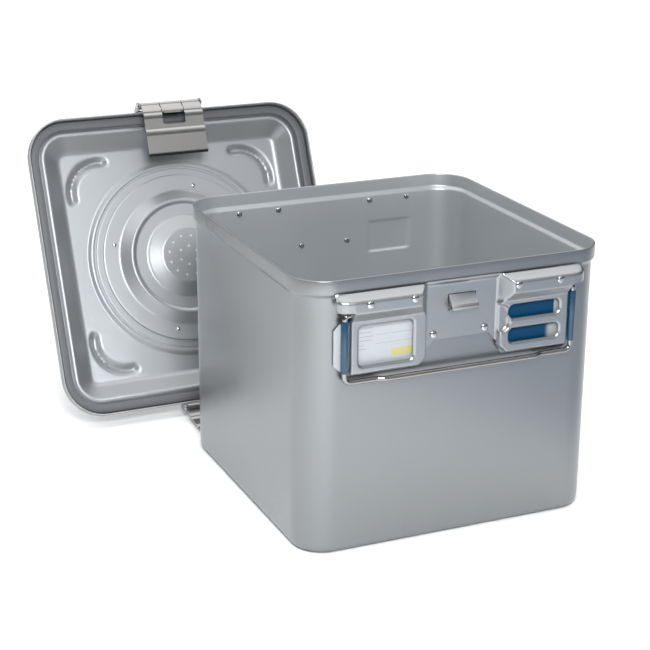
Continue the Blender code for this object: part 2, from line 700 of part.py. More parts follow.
# Catch: a rolled tongue that stands in the web.
def build_catch(name, frame):
    root = PLATE_FACE
    middle = PLATE_FACE + CATCH_REACH
    outline = [(-root, CATCH_TOP), (-(root + PLATE_SHEET), CATCH_TOP)]
    for step in range(9):
        angle = math.radians(62 - 27 * step)
        out = middle + CATCH_ROLL * math.cos(angle)
        outline.append((-out, CATCH_ROLL_Z + CATCH_ROLL * math.sin(angle)))
    outline.append((-root, CATCH_TOP - PLATE_SHEET * 2))
    tongue = bmesh.new()
    add_prism_x(tongue, outline, -CATCH_HALF, CATCH_HALF)
    catch = make_object(name, tongue, "aluminium", 1.0, 0.35, frame)
    bore = bmesh.new()
    outline = circle(CATCH_BORE, WIRE_STEPS, (-middle, CATCH_ROLL_Z))
    add_prism_x(bore, outline, -CATCH_HALF * 2, CATCH_HALF * 2)
    combine(catch, make_cutter(name + "_bore", bore, frame), "DIFFERENCE")
    return catch


# Wire handle with a sleeve on each leg, hanging from the pocket sides.
def build_bail(name, frame):
    bar_z = BAIL_PIVOT_Z - BAIL_DROP
    jog_y = -(BAIL_OUT + BAIL_JOG)
    half = []
    half.append(((BAIL_TIP, -BAIL_OUT, BAIL_PIVOT_Z), 0.0))
    half.append(((BAIL_HALF, -BAIL_OUT, BAIL_PIVOT_Z), BAIL_HALF - POCKET_HALF - PLATE_SHEET))
    half.append(((BAIL_HALF, -BAIL_OUT, bar_z), BAIL_BEND))
    half.append(((BAIL_JOG_HALF + BAIL_JOG_RUN, -BAIL_OUT, bar_z), BAIL_JOG_RUN / 3))
    half.append(((BAIL_JOG_HALF, jog_y, bar_z), BAIL_JOG_RUN / 3))
    other = [((-place[0], place[1], place[2]), bend) for place, bend in reversed(half)]
    wire = bmesh.new()
    add_wire(wire, rounded_path(half + other, BEND_STEPS), WIRE_RADIUS, WIRE_STEPS)
    pivot = frame @ Vector((0.0, -BAIL_OUT, BAIL_PIVOT_Z))
    make_object(name + "_handle", wire, "chrome", 1.0, 0.12, frame, pivot)
    for label, side in (("left", -1), ("right", 1)):
        x = side * BAIL_HALF
        top = BAIL_PIVOT_Z - GRIP_TOP
        bottom = bar_z + GRIP_BOTTOM
        sleeve = bmesh.new()
        outer = circle(GRIP_RADIUS, WIRE_STEPS + 4, (x, -BAIL_OUT))
        inner = circle(WIRE_RADIUS + GAP, WIRE_STEPS + 4, (x, -BAIL_OUT))
        rings = [[(px, py, z) for px, py in ring]
                 for ring, z in ((outer, bottom), (outer, top), (inner, top), (inner, bottom))]
        skin(sleeve, rings, capped=False, closed=True)
        make_object(name + "_grip_" + label, sleeve, "blue", 0.0, 0.35, frame, pivot)


# Label card behind the left window and tag plate behind the right slots.
def build_cards(name, frame):
    low = CARD_Z - CARD_HEIGHT / 2
    high = CARD_Z + CARD_HEIGHT / 2
    cut = CARD_CHAMFER
    outline = (
        (-CARD_INNER_X, low),
        (-CARD_INNER_X, high),
        (-(CARD_OUTER_X - cut), high),
        (-CARD_OUTER_X, high - cut),
        (-CARD_OUTER_X, low + cut),
        (-(CARD_OUTER_X - cut), low),
    )
    card = bmesh.new()
    add_prism_y(card, outline, -CARD_FACE, -(CARD_FACE + CARD_SHEET))
    make_object(name + "_label_card", card, "card", 0.0, 0.6, frame)
    low = CARD_Z - TAG_HEIGHT / 2
    high = CARD_Z + TAG_HEIGHT / 2
    outline = ((CARD_INNER_X, low), (TAG_OUTER_X, low), (TAG_OUTER_X, high), (CARD_INNER_X, high))
    tag = bmesh.new()
    add_prism_y(tag, outline, -CARD_FACE, -(CARD_FACE + TAG_SHEET))
    make_object(name + "_tag_plate", tag, "blue", 0.4, 0.3, frame)


# Sweep a rounded trough along a corner arc of the lid, shrinking at both ends.
def add_trough(mesh_data, turn, half_width, depth, top, extra):
    loops = []
    spread = extra / ARC_RADIUS
    start = ARC_START - spread
    end = ARC_END + spread
    for station in range(ARC_STATIONS):
        share = station / (ARC_STATIONS - 1)
        angle = start + (end - start) * share
        arc = ARC_RADIUS * (end - start)
        from_end = min(share, 1 - share) * arc / (half_width * ARC_TAPER_SHARE)
        reach = min(from_end, 1.0)
        size = ARC_TIP_SHARE + (1 - ARC_TIP_SHARE) * math.sqrt(1 - (1 - reach) ** 2)
        loop = []
        for step in range(9):
            dip = math.pi * step / 8
            radius = ARC_RADIUS + half_width * size * math.cos(dip)
            x = ARC_MIDDLE + radius * math.cos(angle)
            y = ARC_MIDDLE + radius * math.sin(angle)
            loop.append((x, y, top - (depth + PANEL_DEPTH + top) * size * math.sin(dip)))
        loops.append(loop)
    before = set(mesh_data.verts)
    skin(mesh_data, loops)
    added = [vert for vert in mesh_data.verts if vert not in before]
    bmesh.ops.transform(mesh_data, matrix=Matrix.Rotation(turn, 4, "Z"), verts=added)


# Lid shell: lip, gasket channel, crest, slope and panel, with a raised filter seat.
def build_lid():
    back_depth = CHANNEL_DEPTH + LID_SHEET
    lean = LID_SHEET * 0.7
    soft = LIP_ROUND
    profile = (
        (PANEL_EDGE, PANEL_DEPTH),
        ((SLOPE_INNER + PANEL_EDGE) / 2, PANEL_DEPTH - (PANEL_DEPTH - SLOPE_DEPTH) * 0.25),
        (SLOPE_INNER, SLOPE_DEPTH),
        (CREST_INNER + soft, CREST_DEPTH + soft),
        (CREST_INNER - soft, CREST_DEPTH),
        (CREST_OUTER + soft, CREST_DEPTH),
        (CREST_OUTER - soft, CREST_DEPTH + soft),
        (CHANNEL_INNER, CHANNEL_DEPTH),
        (LIP_WIDTH, CHANNEL_DEPTH),
        (LIP_WIDTH, soft),
        (LIP_WIDTH - soft, 0.0),
        (soft, 0.0),
        (0.0, soft),
        (0.0, back_depth - FLANGE_ROUND),
        (FLANGE_ROUND * 0.3, back_depth - FLANGE_ROUND * 0.3),
        (FLANGE_ROUND, back_depth),
        (CREST_OUTER - lean / 2, back_depth),
        (CREST_OUTER + lean / 2, CREST_DEPTH + LID_SHEET),
        (CREST_INNER - lean, CREST_DEPTH + LID_SHEET),
        (SLOPE_INNER - lean, SLOPE_DEPTH + lean),
        ((SLOPE_INNER + PANEL_EDGE) / 2 - lean, PANEL_DEPTH + LID_SHEET * 0.8),
        (PANEL_EDGE, PANEL_DEPTH + LID_SHEET),
    )
    shell = bmesh.new()
    loops = []
    for inset, depth in profile:
        half = LID_HALF - inset
        outline = rounded_square(half, half, max(LID_CORNER_RADIUS - inset, LIP_WIDTH))
        loops.append([(x, y, -depth) for x, y in outline])
    skin(shell, loops)
    lid = make_object("lid_shell", shell, "aluminium", 1.0, 0.35, LID_FRAME)
    ridges = bmesh.new()
    troughs = bmesh.new()
    middle = -(PANEL_DEPTH + LID_SHEET / 2)
    for corner in range(4):
        turn = corner * math.pi / 2
        wide = ARC_HALF_WIDTH + LID_SHEET
        add_trough(ridges, turn, wide, ARC_DEPTH + LID_SHEET, middle, LID_SHEET)
        add_trough(troughs, turn, ARC_HALF_WIDTH, ARC_DEPTH, -PANEL_DEPTH + LID_SHEET / 2, 0.0)
    combine(lid, make_cutter("lid_ridges", ridges, LID_FRAME), "UNION")
    combine(lid, make_cutter("lid_troughs", troughs, LID_FRAME), "DIFFERENCE")
    opening = bmesh.new()
    outline = circle(PANEL_HOLE, DISC_STEPS)
    add_prism_z(opening, outline, -(PANEL_DEPTH + LID_SHEET * 4), -(PANEL_DEPTH - LID_SHEET * 4))
    combine(lid, make_cutter("lid_panel_opening", opening, LID_FRAME), "DIFFERENCE")
    front = -SEAT_DEPTH
    back = -(SEAT_DEPTH + LID_SHEET)
    foot = -(PANEL_DEPTH + LID_SHEET * 0.25)
    under = -(PANEL_DEPTH + LID_SHEET * 0.75)
    seat = bmesh.new()
    add_turned(seat, (
        (0.0, front),
        (SEAT_GROOVE_INNER - SEAT_GROOVE, front),
        (SEAT_GROOVE_INNER, front - SEAT_GROOVE),
        (SEAT_GROOVE_OUTER, front - SEAT_GROOVE),
        (SEAT_GROOVE_OUTER + SEAT_GROOVE, front),
        (SEAT_RADIUS, front),
        (SEAT_FOOT, foot),
        (SEAT_FOOT, under),
        (SEAT_RADIUS, back),
        (0.0, back),
    ), DISC_STEPS)
    combine(lid, make_cutter("lid_seat", seat, LID_FRAME), "UNION")
    vents = bmesh.new()
    for ring, count in zip(VENT_RINGS, VENT_COUNTS):
        for index in range(count):
            angle = 2 * math.pi * (index + 0.5) / count
            spot = (ring * math.cos(angle), ring * math.sin(angle))
            add_prism_z(vents, circle(VENT_RADIUS, 8, spot), back - LID_SHEET, front + LID_SHEET)
    for spot in stud_places():
        add_prism_z(vents, circle(STUD_SHANK + GAP, 10, spot), back - LID_SHEET, front + LID_SHEET)
    combine(lid, make_cutter("lid_vents", vents, LID_FRAME), "DIFFERENCE")
    return lid


# Give the places of the four locating studs.
def stud_places():
    places = []
    for index in range(4):
        angle = STUD_START + index * math.pi / 2
        places.append((STUD_RING * math.cos(angle), STUD_RING * math.sin(angle)))
    return places


# Gasket in the channel of the lid.
def build_gasket():
    base = -(CHANNEL_DEPTH - FIT)
    face = -GASKET_FACE
    soft = GASKET_ROUND
    profile = (
        (GASKET_OUTER, base),
        (GASKET_OUTER, face - soft),
        (GASKET_OUTER + soft, face),
        (GASKET_INNER - soft, face),
        (GASKET_INNER, face - soft),
        (GASKET_INNER, base),
    )
    ring = bmesh.new()
    loops = []
    for inset, z in profile:
        half = LID_HALF - inset
        outline = rounded_square(half, half, max(LID_CORNER_RADIUS - inset, LIP_WIDTH))
        loops.append([(x, y, z) for x, y in outline])
    skin(ring, loops, capped=False, closed=True)
    make_object("lid_gasket", ring, "gasket", 0.0, 0.6, LID_FRAME)


# Filter sheet, the plate that holds it and the studs that place it.
def build_filter():
    sheet = bmesh.new()
    low = -(FILTER_FACE + FILTER_SHEET)
    add_prism_z(sheet, circle(FILTER_RADIUS, DISC_STEPS), low, -FILTER_FACE)
    filter_sheet = make_object("filter_sheet", sheet, "filter", 0.0, 0.9, LID_FRAME)
    base = -RETAINER_FACE
    crest = base + RETAINER_CREST_RISE
    ring = crest - RETAINER_STEP_DROP
    disc = base + RETAINER_DISC_RISE
    back = -RETAINER_SHEET
    soft = RETAINER_ROUND
    plate = bmesh.new()
    add_turned(plate, (
        (0.0, disc),
        (RETAINER_DISC, disc),
        (RETAINER_INNER, ring),
        (RETAINER_STEP, ring),
        (RETAINER_STEP + soft, crest - soft / 3),
        (RETAINER_CREST - soft, crest),
        (RETAINER_CREST, crest - soft / 2),
        (RETAINER_RING, base + soft / 3),
        (RETAINER_RING + soft, base),
        (RETAINER_RADIUS - soft / 3, base),
        (RETAINER_RADIUS, base - soft / 3),
        (RETAINER_RADIUS, base + back),
        (RETAINER_RING, base + back),
        (RETAINER_CREST - soft, crest + back),
        (RETAINER_STEP + soft, crest + back),
        (RETAINER_STEP, ring + back),
        (RETAINER_INNER, ring + back),
        (RETAINER_DISC, disc + back),
        (0.0, disc + back),
    ), DISC_STEPS)
    retainer = make_object("filter_retaining_plate", plate, "aluminium", 1.0, 0.3, LID_FRAME)
    holes = bmesh.new()
    high = disc + RETAINER_SHEET * 2
    low = disc - RETAINER_SHEET * 4
    rings = ((HOLE_OUTER_RING, 12, HOLE_OUTER_START), (HOLE_INNER_RING, 6, HOLE_INNER_START))
    for radius, count, start in rings:
        for index in range(count):
            angle = start + 2 * math.pi * index / count
            spot = (radius * math.cos(angle), radius * math.sin(angle))
            add_prism_z(holes, circle(HOLE_RADIUS, 10, spot), low, high)
    for spot in stud_places():
        bore = circle(STUD_SHANK + GAP, 10, spot)
        add_prism_z(holes, bore, base - RETAINER_SHEET * 3, base + RETAINER_SHEET)
    combine(retainer, make_cutter("retaining_plate_holes", holes, LID_FRAME), "DIFFERENCE")
    passages = bmesh.new()
    for spot in stud_places():
        add_prism_z(passages, circle(STUD_SHANK + GAP, 10, spot), base - RETAINER_SHEET * 3, base)
    combine(filter_sheet, make_cutter("filter_passages", passages, LID_FRAME), "DIFFERENCE")
    for number, spot in enumerate(stud_places(), 1):
        face = base + FIT
        stud = bmesh.new()
        add_turned(stud, (
            (0.0, face + STUD_HEAD),
            (STUD_RADIUS * 0.55, face + STUD_HEAD * 0.8),
            (STUD_RADIUS, face + STUD_HEAD * 0.2),
            (STUD_RADIUS, face),
            (STUD_SHANK, face),
            (STUD_SHANK, -SEAT_DEPTH - LID_SHEET / 2),
            (0.0, -SEAT_DEPTH - LID_SHEET / 2),
        ), 12, spot)
        make_object("retainer_stud_" + str(number), stud, "steel", 1.0, 0.3, LID_FRAME)


# Latch plate: a barrel around the pin and a ridged sheet with a window and a hem.
def build_latch(name, turn, fold):
    swing = Matrix((
        (1.0, 0.0, 0.0, 0.0),
        (0.0, math.cos(fold), -math.sin(fold), PIVOT_Y),
        (0.0, math.sin(fold), math.cos(fold), PIVOT_Z),
        (0.0, 0.0, 0.0, 1.0),
    ))
    frame = LID_FRAME @ Matrix.Rotation(turn, 4, "Z") @ swing
    level = LATCH_OFFSET
    ridge = LATCH_OFFSET + LATCH_RIDGE
    thick = LATCH_SHEET
    length = LATCH_LENGTH
    outline = (
        (BARREL_RADIUS * 0.9, 0.0),
        (level * 0.8, length * 0.08),
        (level, length * 0.15),
        (ridge, length * 0.21),
        (ridge, length * 0.27),
        (level, length * 0.33),
        (level, length * 0.49),
        (ridge, length * 0.54),
        (ridge, length * 0.60),
        (level, length * 0.65),
        (level, length - thick),
        (level - thick / 2, length),
        (level - LATCH_HEM, length),
        (level - LATCH_HEM, length - thick),
        (level - thick, length - thick),
        (level - thick, length * 0.65),
        (ridge - thick, length * 0.60),
        (ridge - thick, length * 0.54),
        (level - thick, length * 0.49),
        (level - thick, length * 0.33),
        (ridge - thick, length * 0.27),
        (ridge - thick, length * 0.21),
        (level - thick, length * 0.15),
        (level * 0.8 - thick, length * 0.08),
        (BARREL_RADIUS * 0.9 - thick, 0.0),
    )
    sheet = bmesh.new()
    add_prism_x(sheet, outline, -LATCH_HALF, LATCH_HALF)
    latch = make_object(name, sheet, "steel", 1.0, 0.35, frame)
    barrel = bmesh.new()
    add_prism_x(barrel, circle(BARREL_RADIUS, 16), -(LATCH_HALF + GAP / 2), LATCH_HALF + GAP / 2)
    combine(latch, make_cutter(name + "_barrel", barrel, frame), "UNION")
    cuts = bmesh.new()
    add_prism_x(cuts, circle(PIN_RADIUS + GAP, 16), -LATCH_HALF * 2, LATCH_HALF * 2)
    combine(latch, make_cutter(name + "_bore", cuts, frame), "DIFFERENCE")
    window = bmesh.new()
    middle = (LATCH_WINDOW_TOP + LATCH_WINDOW_BOTTOM) / 2
    tall = LATCH_WINDOW_BOTTOM - LATCH_WINDOW_TOP
    outline = window_outline(0.0, middle, LATCH_WINDOW_HALF * 2, tall, LATCH_WINDOW_RADIUS)
    add_prism_y(window, outline, BARREL_RADIUS, ridge * 2)
    combine(latch, make_cutter(name + "_window", window, frame), "DIFFERENCE")


# Bracket, hinge pin and rivets that carry one latch on the flange of the lid.
def build_bracket(name, turn):
    frame = LID_FRAME @ Matrix.Rotation(turn, 4, "Z")
    near = LID_HALF + GAP
    far = near + BRACKET_SHEET
    ear_in = LATCH_HALF + GAP * 2
    ear_out = ear_in + EAR_SHEET
    top = -LIP_ROUND
    base = bmesh.new()
    lap = EAR_LAP
    outline = ((near + lap / 2, EAR_BACK + lap), (far, EAR_BACK + lap), (far, top), (near + lap / 2, top))
    add_prism_x(base, outline, -(ear_out - lap), ear_out - lap)
    bracket = make_object(name + "_bracket", base, "steel", 1.0, 0.35, frame)
    reach = PIVOT_Y + EAR_OUTER
    for label, side in (("left", -1), ("right", 1)):
        ear = bmesh.new()
        outline = [(near, EAR_BACK), (far + BRACKET_SHEET, EAR_BACK), (reach, PIVOT_Z - EAR_OUTER)]
        for step in range(7):
            angle = math.pi * step / 6
            y = PIVOT_Y + EAR_OUTER * math.cos(angle)
            outline.append((max(y, near), PIVOT_Z + EAR_OUTER * math.sin(angle)))
        add_prism_x(ear, outline, side * ear_in, side * ear_out)
        combine(bracket, make_cutter(name + "_ear_" + label, ear, frame), "UNION")
    bores = bmesh.new()
    outline = circle(PIN_RADIUS + GAP, 16, (PIVOT_Y, PIVOT_Z))
    add_prism_x(bores, outline, -ear_out * 2, ear_out * 2)
    middle = (EAR_BACK + top) / 2
    for side in (-1, 1):
        spot = (side * BRACKET_RIVET_X, middle)
        add_prism_y(bores, circle(STUD_SHANK + GAP, 10, spot), LID_HALF, far + GAP * 3)
    combine(bracket, make_cutter(name + "_bracket_bores", bores, frame), "DIFFERENCE")
    pin = bmesh.new()
    head = PIN_RADIUS * 1.6
    end = ear_out + FIT
    profile = (
        (0.0, -(end + PIN_RADIUS * 0.7)),
        (head * 0.8, -(end + PIN_RADIUS * 0.6)),
        (head, -end),
        (PIN_RADIUS, -end),
        (PIN_RADIUS, end),
        (head, end),
        (head * 0.8, end + PIN_RADIUS * 0.6),
        (0.0, end + PIN_RADIUS * 0.7),
    )
    add_turned(pin, profile, 16)
    lay = Matrix.Translation((0.0, PIVOT_Y, PIVOT_Z)) @ Matrix.Rotation(math.pi / 2, 4, "Y")
    make_object(name + "_pin", pin, "steel", 1.0, 0.25, frame @ lay)
    for label, side in (("left", -1), ("right", 1)):
        face = far + FIT
        rivet = bmesh.new()
        profile = (
            (0.0, face + BRACKET_RIVET_HEAD),
            (BRACKET_RIVET_RADIUS * 0.6, face + BRACKET_RIVET_HEAD * 0.8),
            (BRACKET_RIVET_RADIUS, face),
            (STUD_SHANK, face),
            (STUD_SHANK, near),
            (0.0, near),
        )
        add_turned(rivet, profile, 12)
        place = Matrix.Translation((side * BRACKET_RIVET_X, 0.0, middle))
        stand = place @ Matrix.Rotation(-math.pi / 2, 4, "X")
        make_object(name + "_bracket_rivet_" + label, rivet, "steel", 1.0, 0.3, frame @ stand)


build_tub()
for side_name, side_frame in (("front", Matrix.Identity(4)), ("back", BACK_TURN)):
    build_plate(side_name + "_plate", side_frame)
    build_rivets(side_name, side_frame)
    build_catch(side_name + "_catch", side_frame)
    build_bail(side_name, side_frame)
    build_cards(side_name, side_frame)
build_lid()
build_gasket()
build_filter()
LATCHES = (("upper_latch", 0.0, LATCH_FOLD), ("lower_latch", math.pi, LATCH_OPEN))
for latch_name, latch_turn, latch_fold in LATCHES:
    build_bracket(latch_name, latch_turn)
    build_latch(latch_name, latch_turn, latch_fold)
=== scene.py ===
# %% [markdown]
# # A square instrument container and its lid
#
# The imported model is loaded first. It holds every metal part at its real size, and its moving
# groups. Everything below only dresses it. One unit is one metre, the front faces -Y and the tub
# stands on the ground around the origin.

# %% Load the model
import math

import bmesh
import bpy
from mathutils import Matrix, Vector


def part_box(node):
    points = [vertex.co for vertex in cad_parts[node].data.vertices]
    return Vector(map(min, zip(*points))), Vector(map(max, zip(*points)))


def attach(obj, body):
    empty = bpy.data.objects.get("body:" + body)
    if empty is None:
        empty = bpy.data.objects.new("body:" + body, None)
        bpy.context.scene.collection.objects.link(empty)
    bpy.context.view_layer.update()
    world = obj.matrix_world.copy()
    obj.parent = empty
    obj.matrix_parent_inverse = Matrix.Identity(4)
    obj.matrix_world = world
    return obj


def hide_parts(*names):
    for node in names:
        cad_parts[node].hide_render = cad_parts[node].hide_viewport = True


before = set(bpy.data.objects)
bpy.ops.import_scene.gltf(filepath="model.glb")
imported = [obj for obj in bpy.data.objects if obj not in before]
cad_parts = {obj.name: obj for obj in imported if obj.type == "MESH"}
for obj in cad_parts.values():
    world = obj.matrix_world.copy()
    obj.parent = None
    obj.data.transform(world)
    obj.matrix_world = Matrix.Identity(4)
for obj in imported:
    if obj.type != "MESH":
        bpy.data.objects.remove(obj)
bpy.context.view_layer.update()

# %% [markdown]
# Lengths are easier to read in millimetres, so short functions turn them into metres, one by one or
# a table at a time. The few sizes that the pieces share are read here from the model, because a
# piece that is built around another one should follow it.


def mm(value):
    return value / 1000


def mm_all(*values):
    return tuple(mm(value) for value in values)


def mm_pairs(*pairs):
    return [mm_all(*pair) for pair in pairs]


def clamp(value):
    return min(max(value, 0), 1)


tub_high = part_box("tub_shell")[1]
RIM_HALF = tub_high.x
TUB_TOP = tub_high.z
COLLAR_STEP = mm(2.8)
WALL_FACE = RIM_HALF - COLLAR_STEP
TUB_WALL = mm(1.8)
ROUND_STEPS = 8
print("rim half", round(RIM_HALF, 4), "tub height", round(TUB_TOP, 4))

LEAN = math.radians(24.84)
LID_UP = Vector((0, math.sin(LEAN), math.cos(LEAN)))
LID_OUT = Vector((0, -math.cos(LEAN), math.sin(LEAN)))
LID_HALF = mm(158.7)
LID_MIDDLE = Vector(mm_all(-98.9, 278.0, 158.2))
LID_PLACE = Matrix.Translation(LID_MIDDLE) @ Matrix((
    (1, LID_UP.x, LID_OUT.x, 0),
    (0, LID_UP.y, LID_OUT.y, 0),
    (0, LID_UP.z, LID_OUT.z, 0),
    (0, 0, 0, 1),
))
SIDES = (("front", Matrix.Identity(4)), ("back", Matrix.Rotation(math.pi, 4, "Z")))

# %% [markdown]
# Every piece goes through the same last steps: its place is baked into its mesh, its normals are
# checked, it gets its material, and it is tied to the body that carries it. Flat areas and round
# areas share one mesh, so the faces are shaded smooth and only edges past an angle stay sharp.

# %% Finish a piece
SHARP_ANGLE = math.radians(32)
made = []


def bake(name, mesh_data):
    mesh = bpy.data.meshes.new(name)
    mesh_data.to_mesh(mesh)
    mesh_data.free()
    return mesh


def add_object(name, data):
    item = bpy.data.objects.new(name, data)
    bpy.context.scene.collection.objects.link(item)
    return item


def finish_piece(name, mesh_data, material, body, place=None, replaces=()):
    bmesh.ops.recalc_face_normals(mesh_data, faces=mesh_data.faces)
    if place is not None:
        bmesh.ops.transform(mesh_data, matrix=place, verts=mesh_data.verts)
    mesh = bake(name, mesh_data)
    mesh.polygons.foreach_set("use_smooth", [True] * len(mesh.polygons))
    mesh.set_sharp_from_angle(angle=SHARP_ANGLE)
    piece = add_object(name, mesh)
    mesh.materials.append(material)
    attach(piece, body)
    if replaces:
        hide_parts(*replaces)
    made.append(piece)
    print(name, len(mesh.polygons), "faces")
    return piece


# %% [markdown]
# Metal sheet is often cut after it is pressed. A cut is a boolean with a plain tool, and the tool is
# mostly a drill. The result is baked into a new mesh at once, so that the piece has no live modifier
# left.

# %% Cut a piece
def add_drill(tools, radius, length, place, segments):
    bmesh.ops.create_cone(tools, cap_ends=True, segments=segments, radius1=radius, radius2=radius,
                          depth=length, matrix=place)


def cut(mesh_data, tool_data):
    items = []
    for data in (mesh_data, tool_data):
        bmesh.ops.recalc_face_normals(data, faces=data.faces)
        items.append(add_object("work", bake("work", data)))
    step = items[0].modifiers.new("cut", "BOOLEAN")
    step.object = items[1]
    step.operation = "DIFFERENCE"
    step.solver = "EXACT"
    graph = bpy.context.evaluated_depsgraph_get()
    result = bmesh.new()
    result.from_mesh(items[0].evaluated_get(graph).to_mesh())
    for item in items:
        mesh = item.data
        bpy.data.objects.remove(item, do_unlink=True)
        bpy.data.meshes.remove(mesh)
    return result


# %% [markdown]
# Deep drawn shells are stacks of rounded squares, and round discs are stacks of circles. One
# helper makes both: it starts from a circle, extrudes its edge again and again, and pulls each new
# loop to its own outline along rays from the middle. A loop can also lie between the two outlines.

# %% Draw a shell from loops
def square_reach(angle, half, radius):
    across, along = abs(math.cos(angle)), abs(math.sin(angle))
    straight = half / max(across, along)
    middle = half - radius
    if straight * min(across, along) <= middle:
        return straight
    towards = middle * (across + along)
    return towards + math.sqrt(towards ** 2 - 2 * middle ** 2 + radius ** 2)


def shape_loop(verts, station):
    half, corner, height = station[:3]
    disc, share = station[3:] if len(station) > 3 else (0, 1)
    for vert in verts:
        angle = math.atan2(vert.co.y, vert.co.x)
        reach = disc * (1 - share)
        if share > 0:
            reach += square_reach(angle, half, corner) * share
        vert.co = (math.cos(angle) * reach, math.sin(angle) * reach, height)


def draw_shell(stations, steps, closed_ring=False):
    shell = bmesh.new()
    bmesh.ops.create_circle(shell, segments=steps, radius=1)
    first = list(shell.edges)
    shape_loop(shell.verts, stations[0])
    edges = first
    for station in stations[1:]:
        grown = bmesh.ops.extrude_edge_only(shell, edges=edges)["geom"]
        edges = [item for item in grown if isinstance(item, bmesh.types.BMEdge)
                 and all(vert in grown for vert in item.verts)]
        shape_loop([item for item in grown if isinstance(item, bmesh.types.BMVert)], station)
    if closed_ring:
        bmesh.ops.bridge_loops(shell, edges=first + edges)
    else:
        for loop in (first, edges):
            bmesh.ops.contextual_create(shell, geom=loop)
    return shell


# %% [markdown]
# A bend in sheet metal is an arc. This gives the places along such an arc between two directions,
# so that every rim and foot below is described by its radius.

# %% Places along an arc
def arc(middle, radius, start, end, steps):
    places = []
    for step in range(steps + 1):
        angle = math.radians(start + (end - start) * step / steps)
        places.append((middle[0] + radius * math.cos(angle), middle[1] + radius * math.sin(angle)))
    return places


# %% [markdown]
# ## Finishes
#
# Satin aluminium is never one flat grey. It has a fine grain that scatters light, faint draw
# marks, and slow changes in tone where it was handled. The grain is a node group with named
# inputs, so that each metal below uses it with its own scale and tone. Three short functions keep
# the node trees readable: one adds a node, one links pairs of sockets, one multiplies values.

# %% A grain for metals
def new_group(name, inputs, outputs):
    group = bpy.data.node_groups.new(name, "ShaderNodeTree")
    for label, kind, value in inputs:
        socket = group.interface.new_socket(name=label, in_out="INPUT", socket_type=kind)
        socket.default_value = value
    for label, kind in outputs:
        group.interface.new_socket(name=label, in_out="OUTPUT", socket_type=kind)
    return group, group.nodes.new("NodeGroupInput"), group.nodes.new("NodeGroupOutput")


def add_node(tree, kind, **values):
    node = tree.nodes.new(kind)
    for key, value in values.items():
        if hasattr(node, key):
            setattr(node, key, value)
        else:
            node.inputs[key.replace("_", " ")].default_value = value
    return node


def link(tree, *pairs):
    for source, target in pairs:
        tree.links.new(source, target)


def multiply(tree, values):
    result = values[0]
    for value in values[1:]:
        step = add_node(tree, "ShaderNodeMath", operation="MULTIPLY")
        link(tree, (result, step.inputs[0]), (value, step.inputs[1]))
        result = step.outputs[0]
    return result


FLOAT, COLOUR, VECTOR = "NodeSocketFloat", "NodeSocketColor", "NodeSocketVector"
GRAIN_SHARE, CLOUD_SHARE = 0.35, 0.65
grain, grain_in, grain_out = new_group(
    "metal_grain",
    [("Stretch", VECTOR, (1, 1, 1)), ("Grain Scale", FLOAT, 900.0), ("Cloud Scale", FLOAT, 9.0),
     ("Base", COLOUR, (0.5, 0.5, 0.5, 1)), ("Shade", COLOUR, (0.4, 0.4, 0.4, 1)),
     ("Rough Low", FLOAT, 0.3), ("Rough High", FLOAT, 0.45)],
    [("Colour", COLOUR), ("Roughness", FLOAT), ("Height", FLOAT)],
)
where = add_node(grain, "ShaderNodeTexCoord")
stretch = add_node(grain, "ShaderNodeVectorMath", operation="MULTIPLY")
fine = add_node(grain, "ShaderNodeTexNoise", Detail=4.0, Roughness=0.6)
cloud = add_node(grain, "ShaderNodeTexNoise", Detail=3.0, Roughness=0.5)
tone = add_node(grain, "ShaderNodeMix", data_type="RGBA")
rough = add_node(grain, "ShaderNodeMapRange", From_Min=0.3, From_Max=0.7)
cloud_part = add_node(grain, "ShaderNodeMath", operation="MULTIPLY")
cloud_part.inputs[1].default_value = CLOUD_SHARE
blend_in = add_node(grain, "ShaderNodeMath", operation="MULTIPLY_ADD")
blend_in.inputs[1].default_value = GRAIN_SHARE
link(grain,
     (where.outputs["Object"], stretch.inputs[0]), (grain_in.outputs["Stretch"], stretch.inputs[1]),
     (stretch.outputs[0], fine.inputs["Vector"]), (grain_in.outputs["Grain Scale"], fine.inputs["Scale"]),
     (where.outputs["Object"], cloud.inputs["Vector"]),
     (grain_in.outputs["Cloud Scale"], cloud.inputs["Scale"]),
     (cloud.outputs["Fac"], cloud_part.inputs[0]), (cloud_part.outputs[0], blend_in.inputs[2]),
     (fine.outputs["Fac"], blend_in.inputs[0]), (blend_in.outputs[0], tone.inputs["Factor"]),
     (grain_in.outputs["Shade"], tone.inputs["A"]), (grain_in.outputs["Base"], tone.inputs["B"]),
     (blend_in.outputs[0], rough.inputs["Value"]), (grain_in.outputs["Rough Low"], rough.inputs["To Min"]),
     (grain_in.outputs["Rough High"], rough.inputs["To Max"]),
     (tone.outputs["Result"], grain_out.inputs["Colour"]),
     (rough.outputs["Result"], grain_out.inputs["Roughness"]),
     (fine.outputs["Fac"], grain_out.inputs["Height"]))


# %% [markdown]
# Each metal is the shader with that group in front of it. Constant values, such as how metallic
# it is, sit on the shader's own sockets.

# %% Metals
def new_material(name):
    material = bpy.data.materials.new(name)
    material.use_nodes = True
    return material, material.node_tree, material.node_tree.nodes["Principled BSDF"]


def add_bump(tree, shader, height, distance):
    bump = add_node(tree, "ShaderNodeBump", Strength=1.0, Distance=distance)
    link(tree, (height, bump.inputs["Height"]), (bump.outputs["Normal"], shader.inputs["Normal"]))


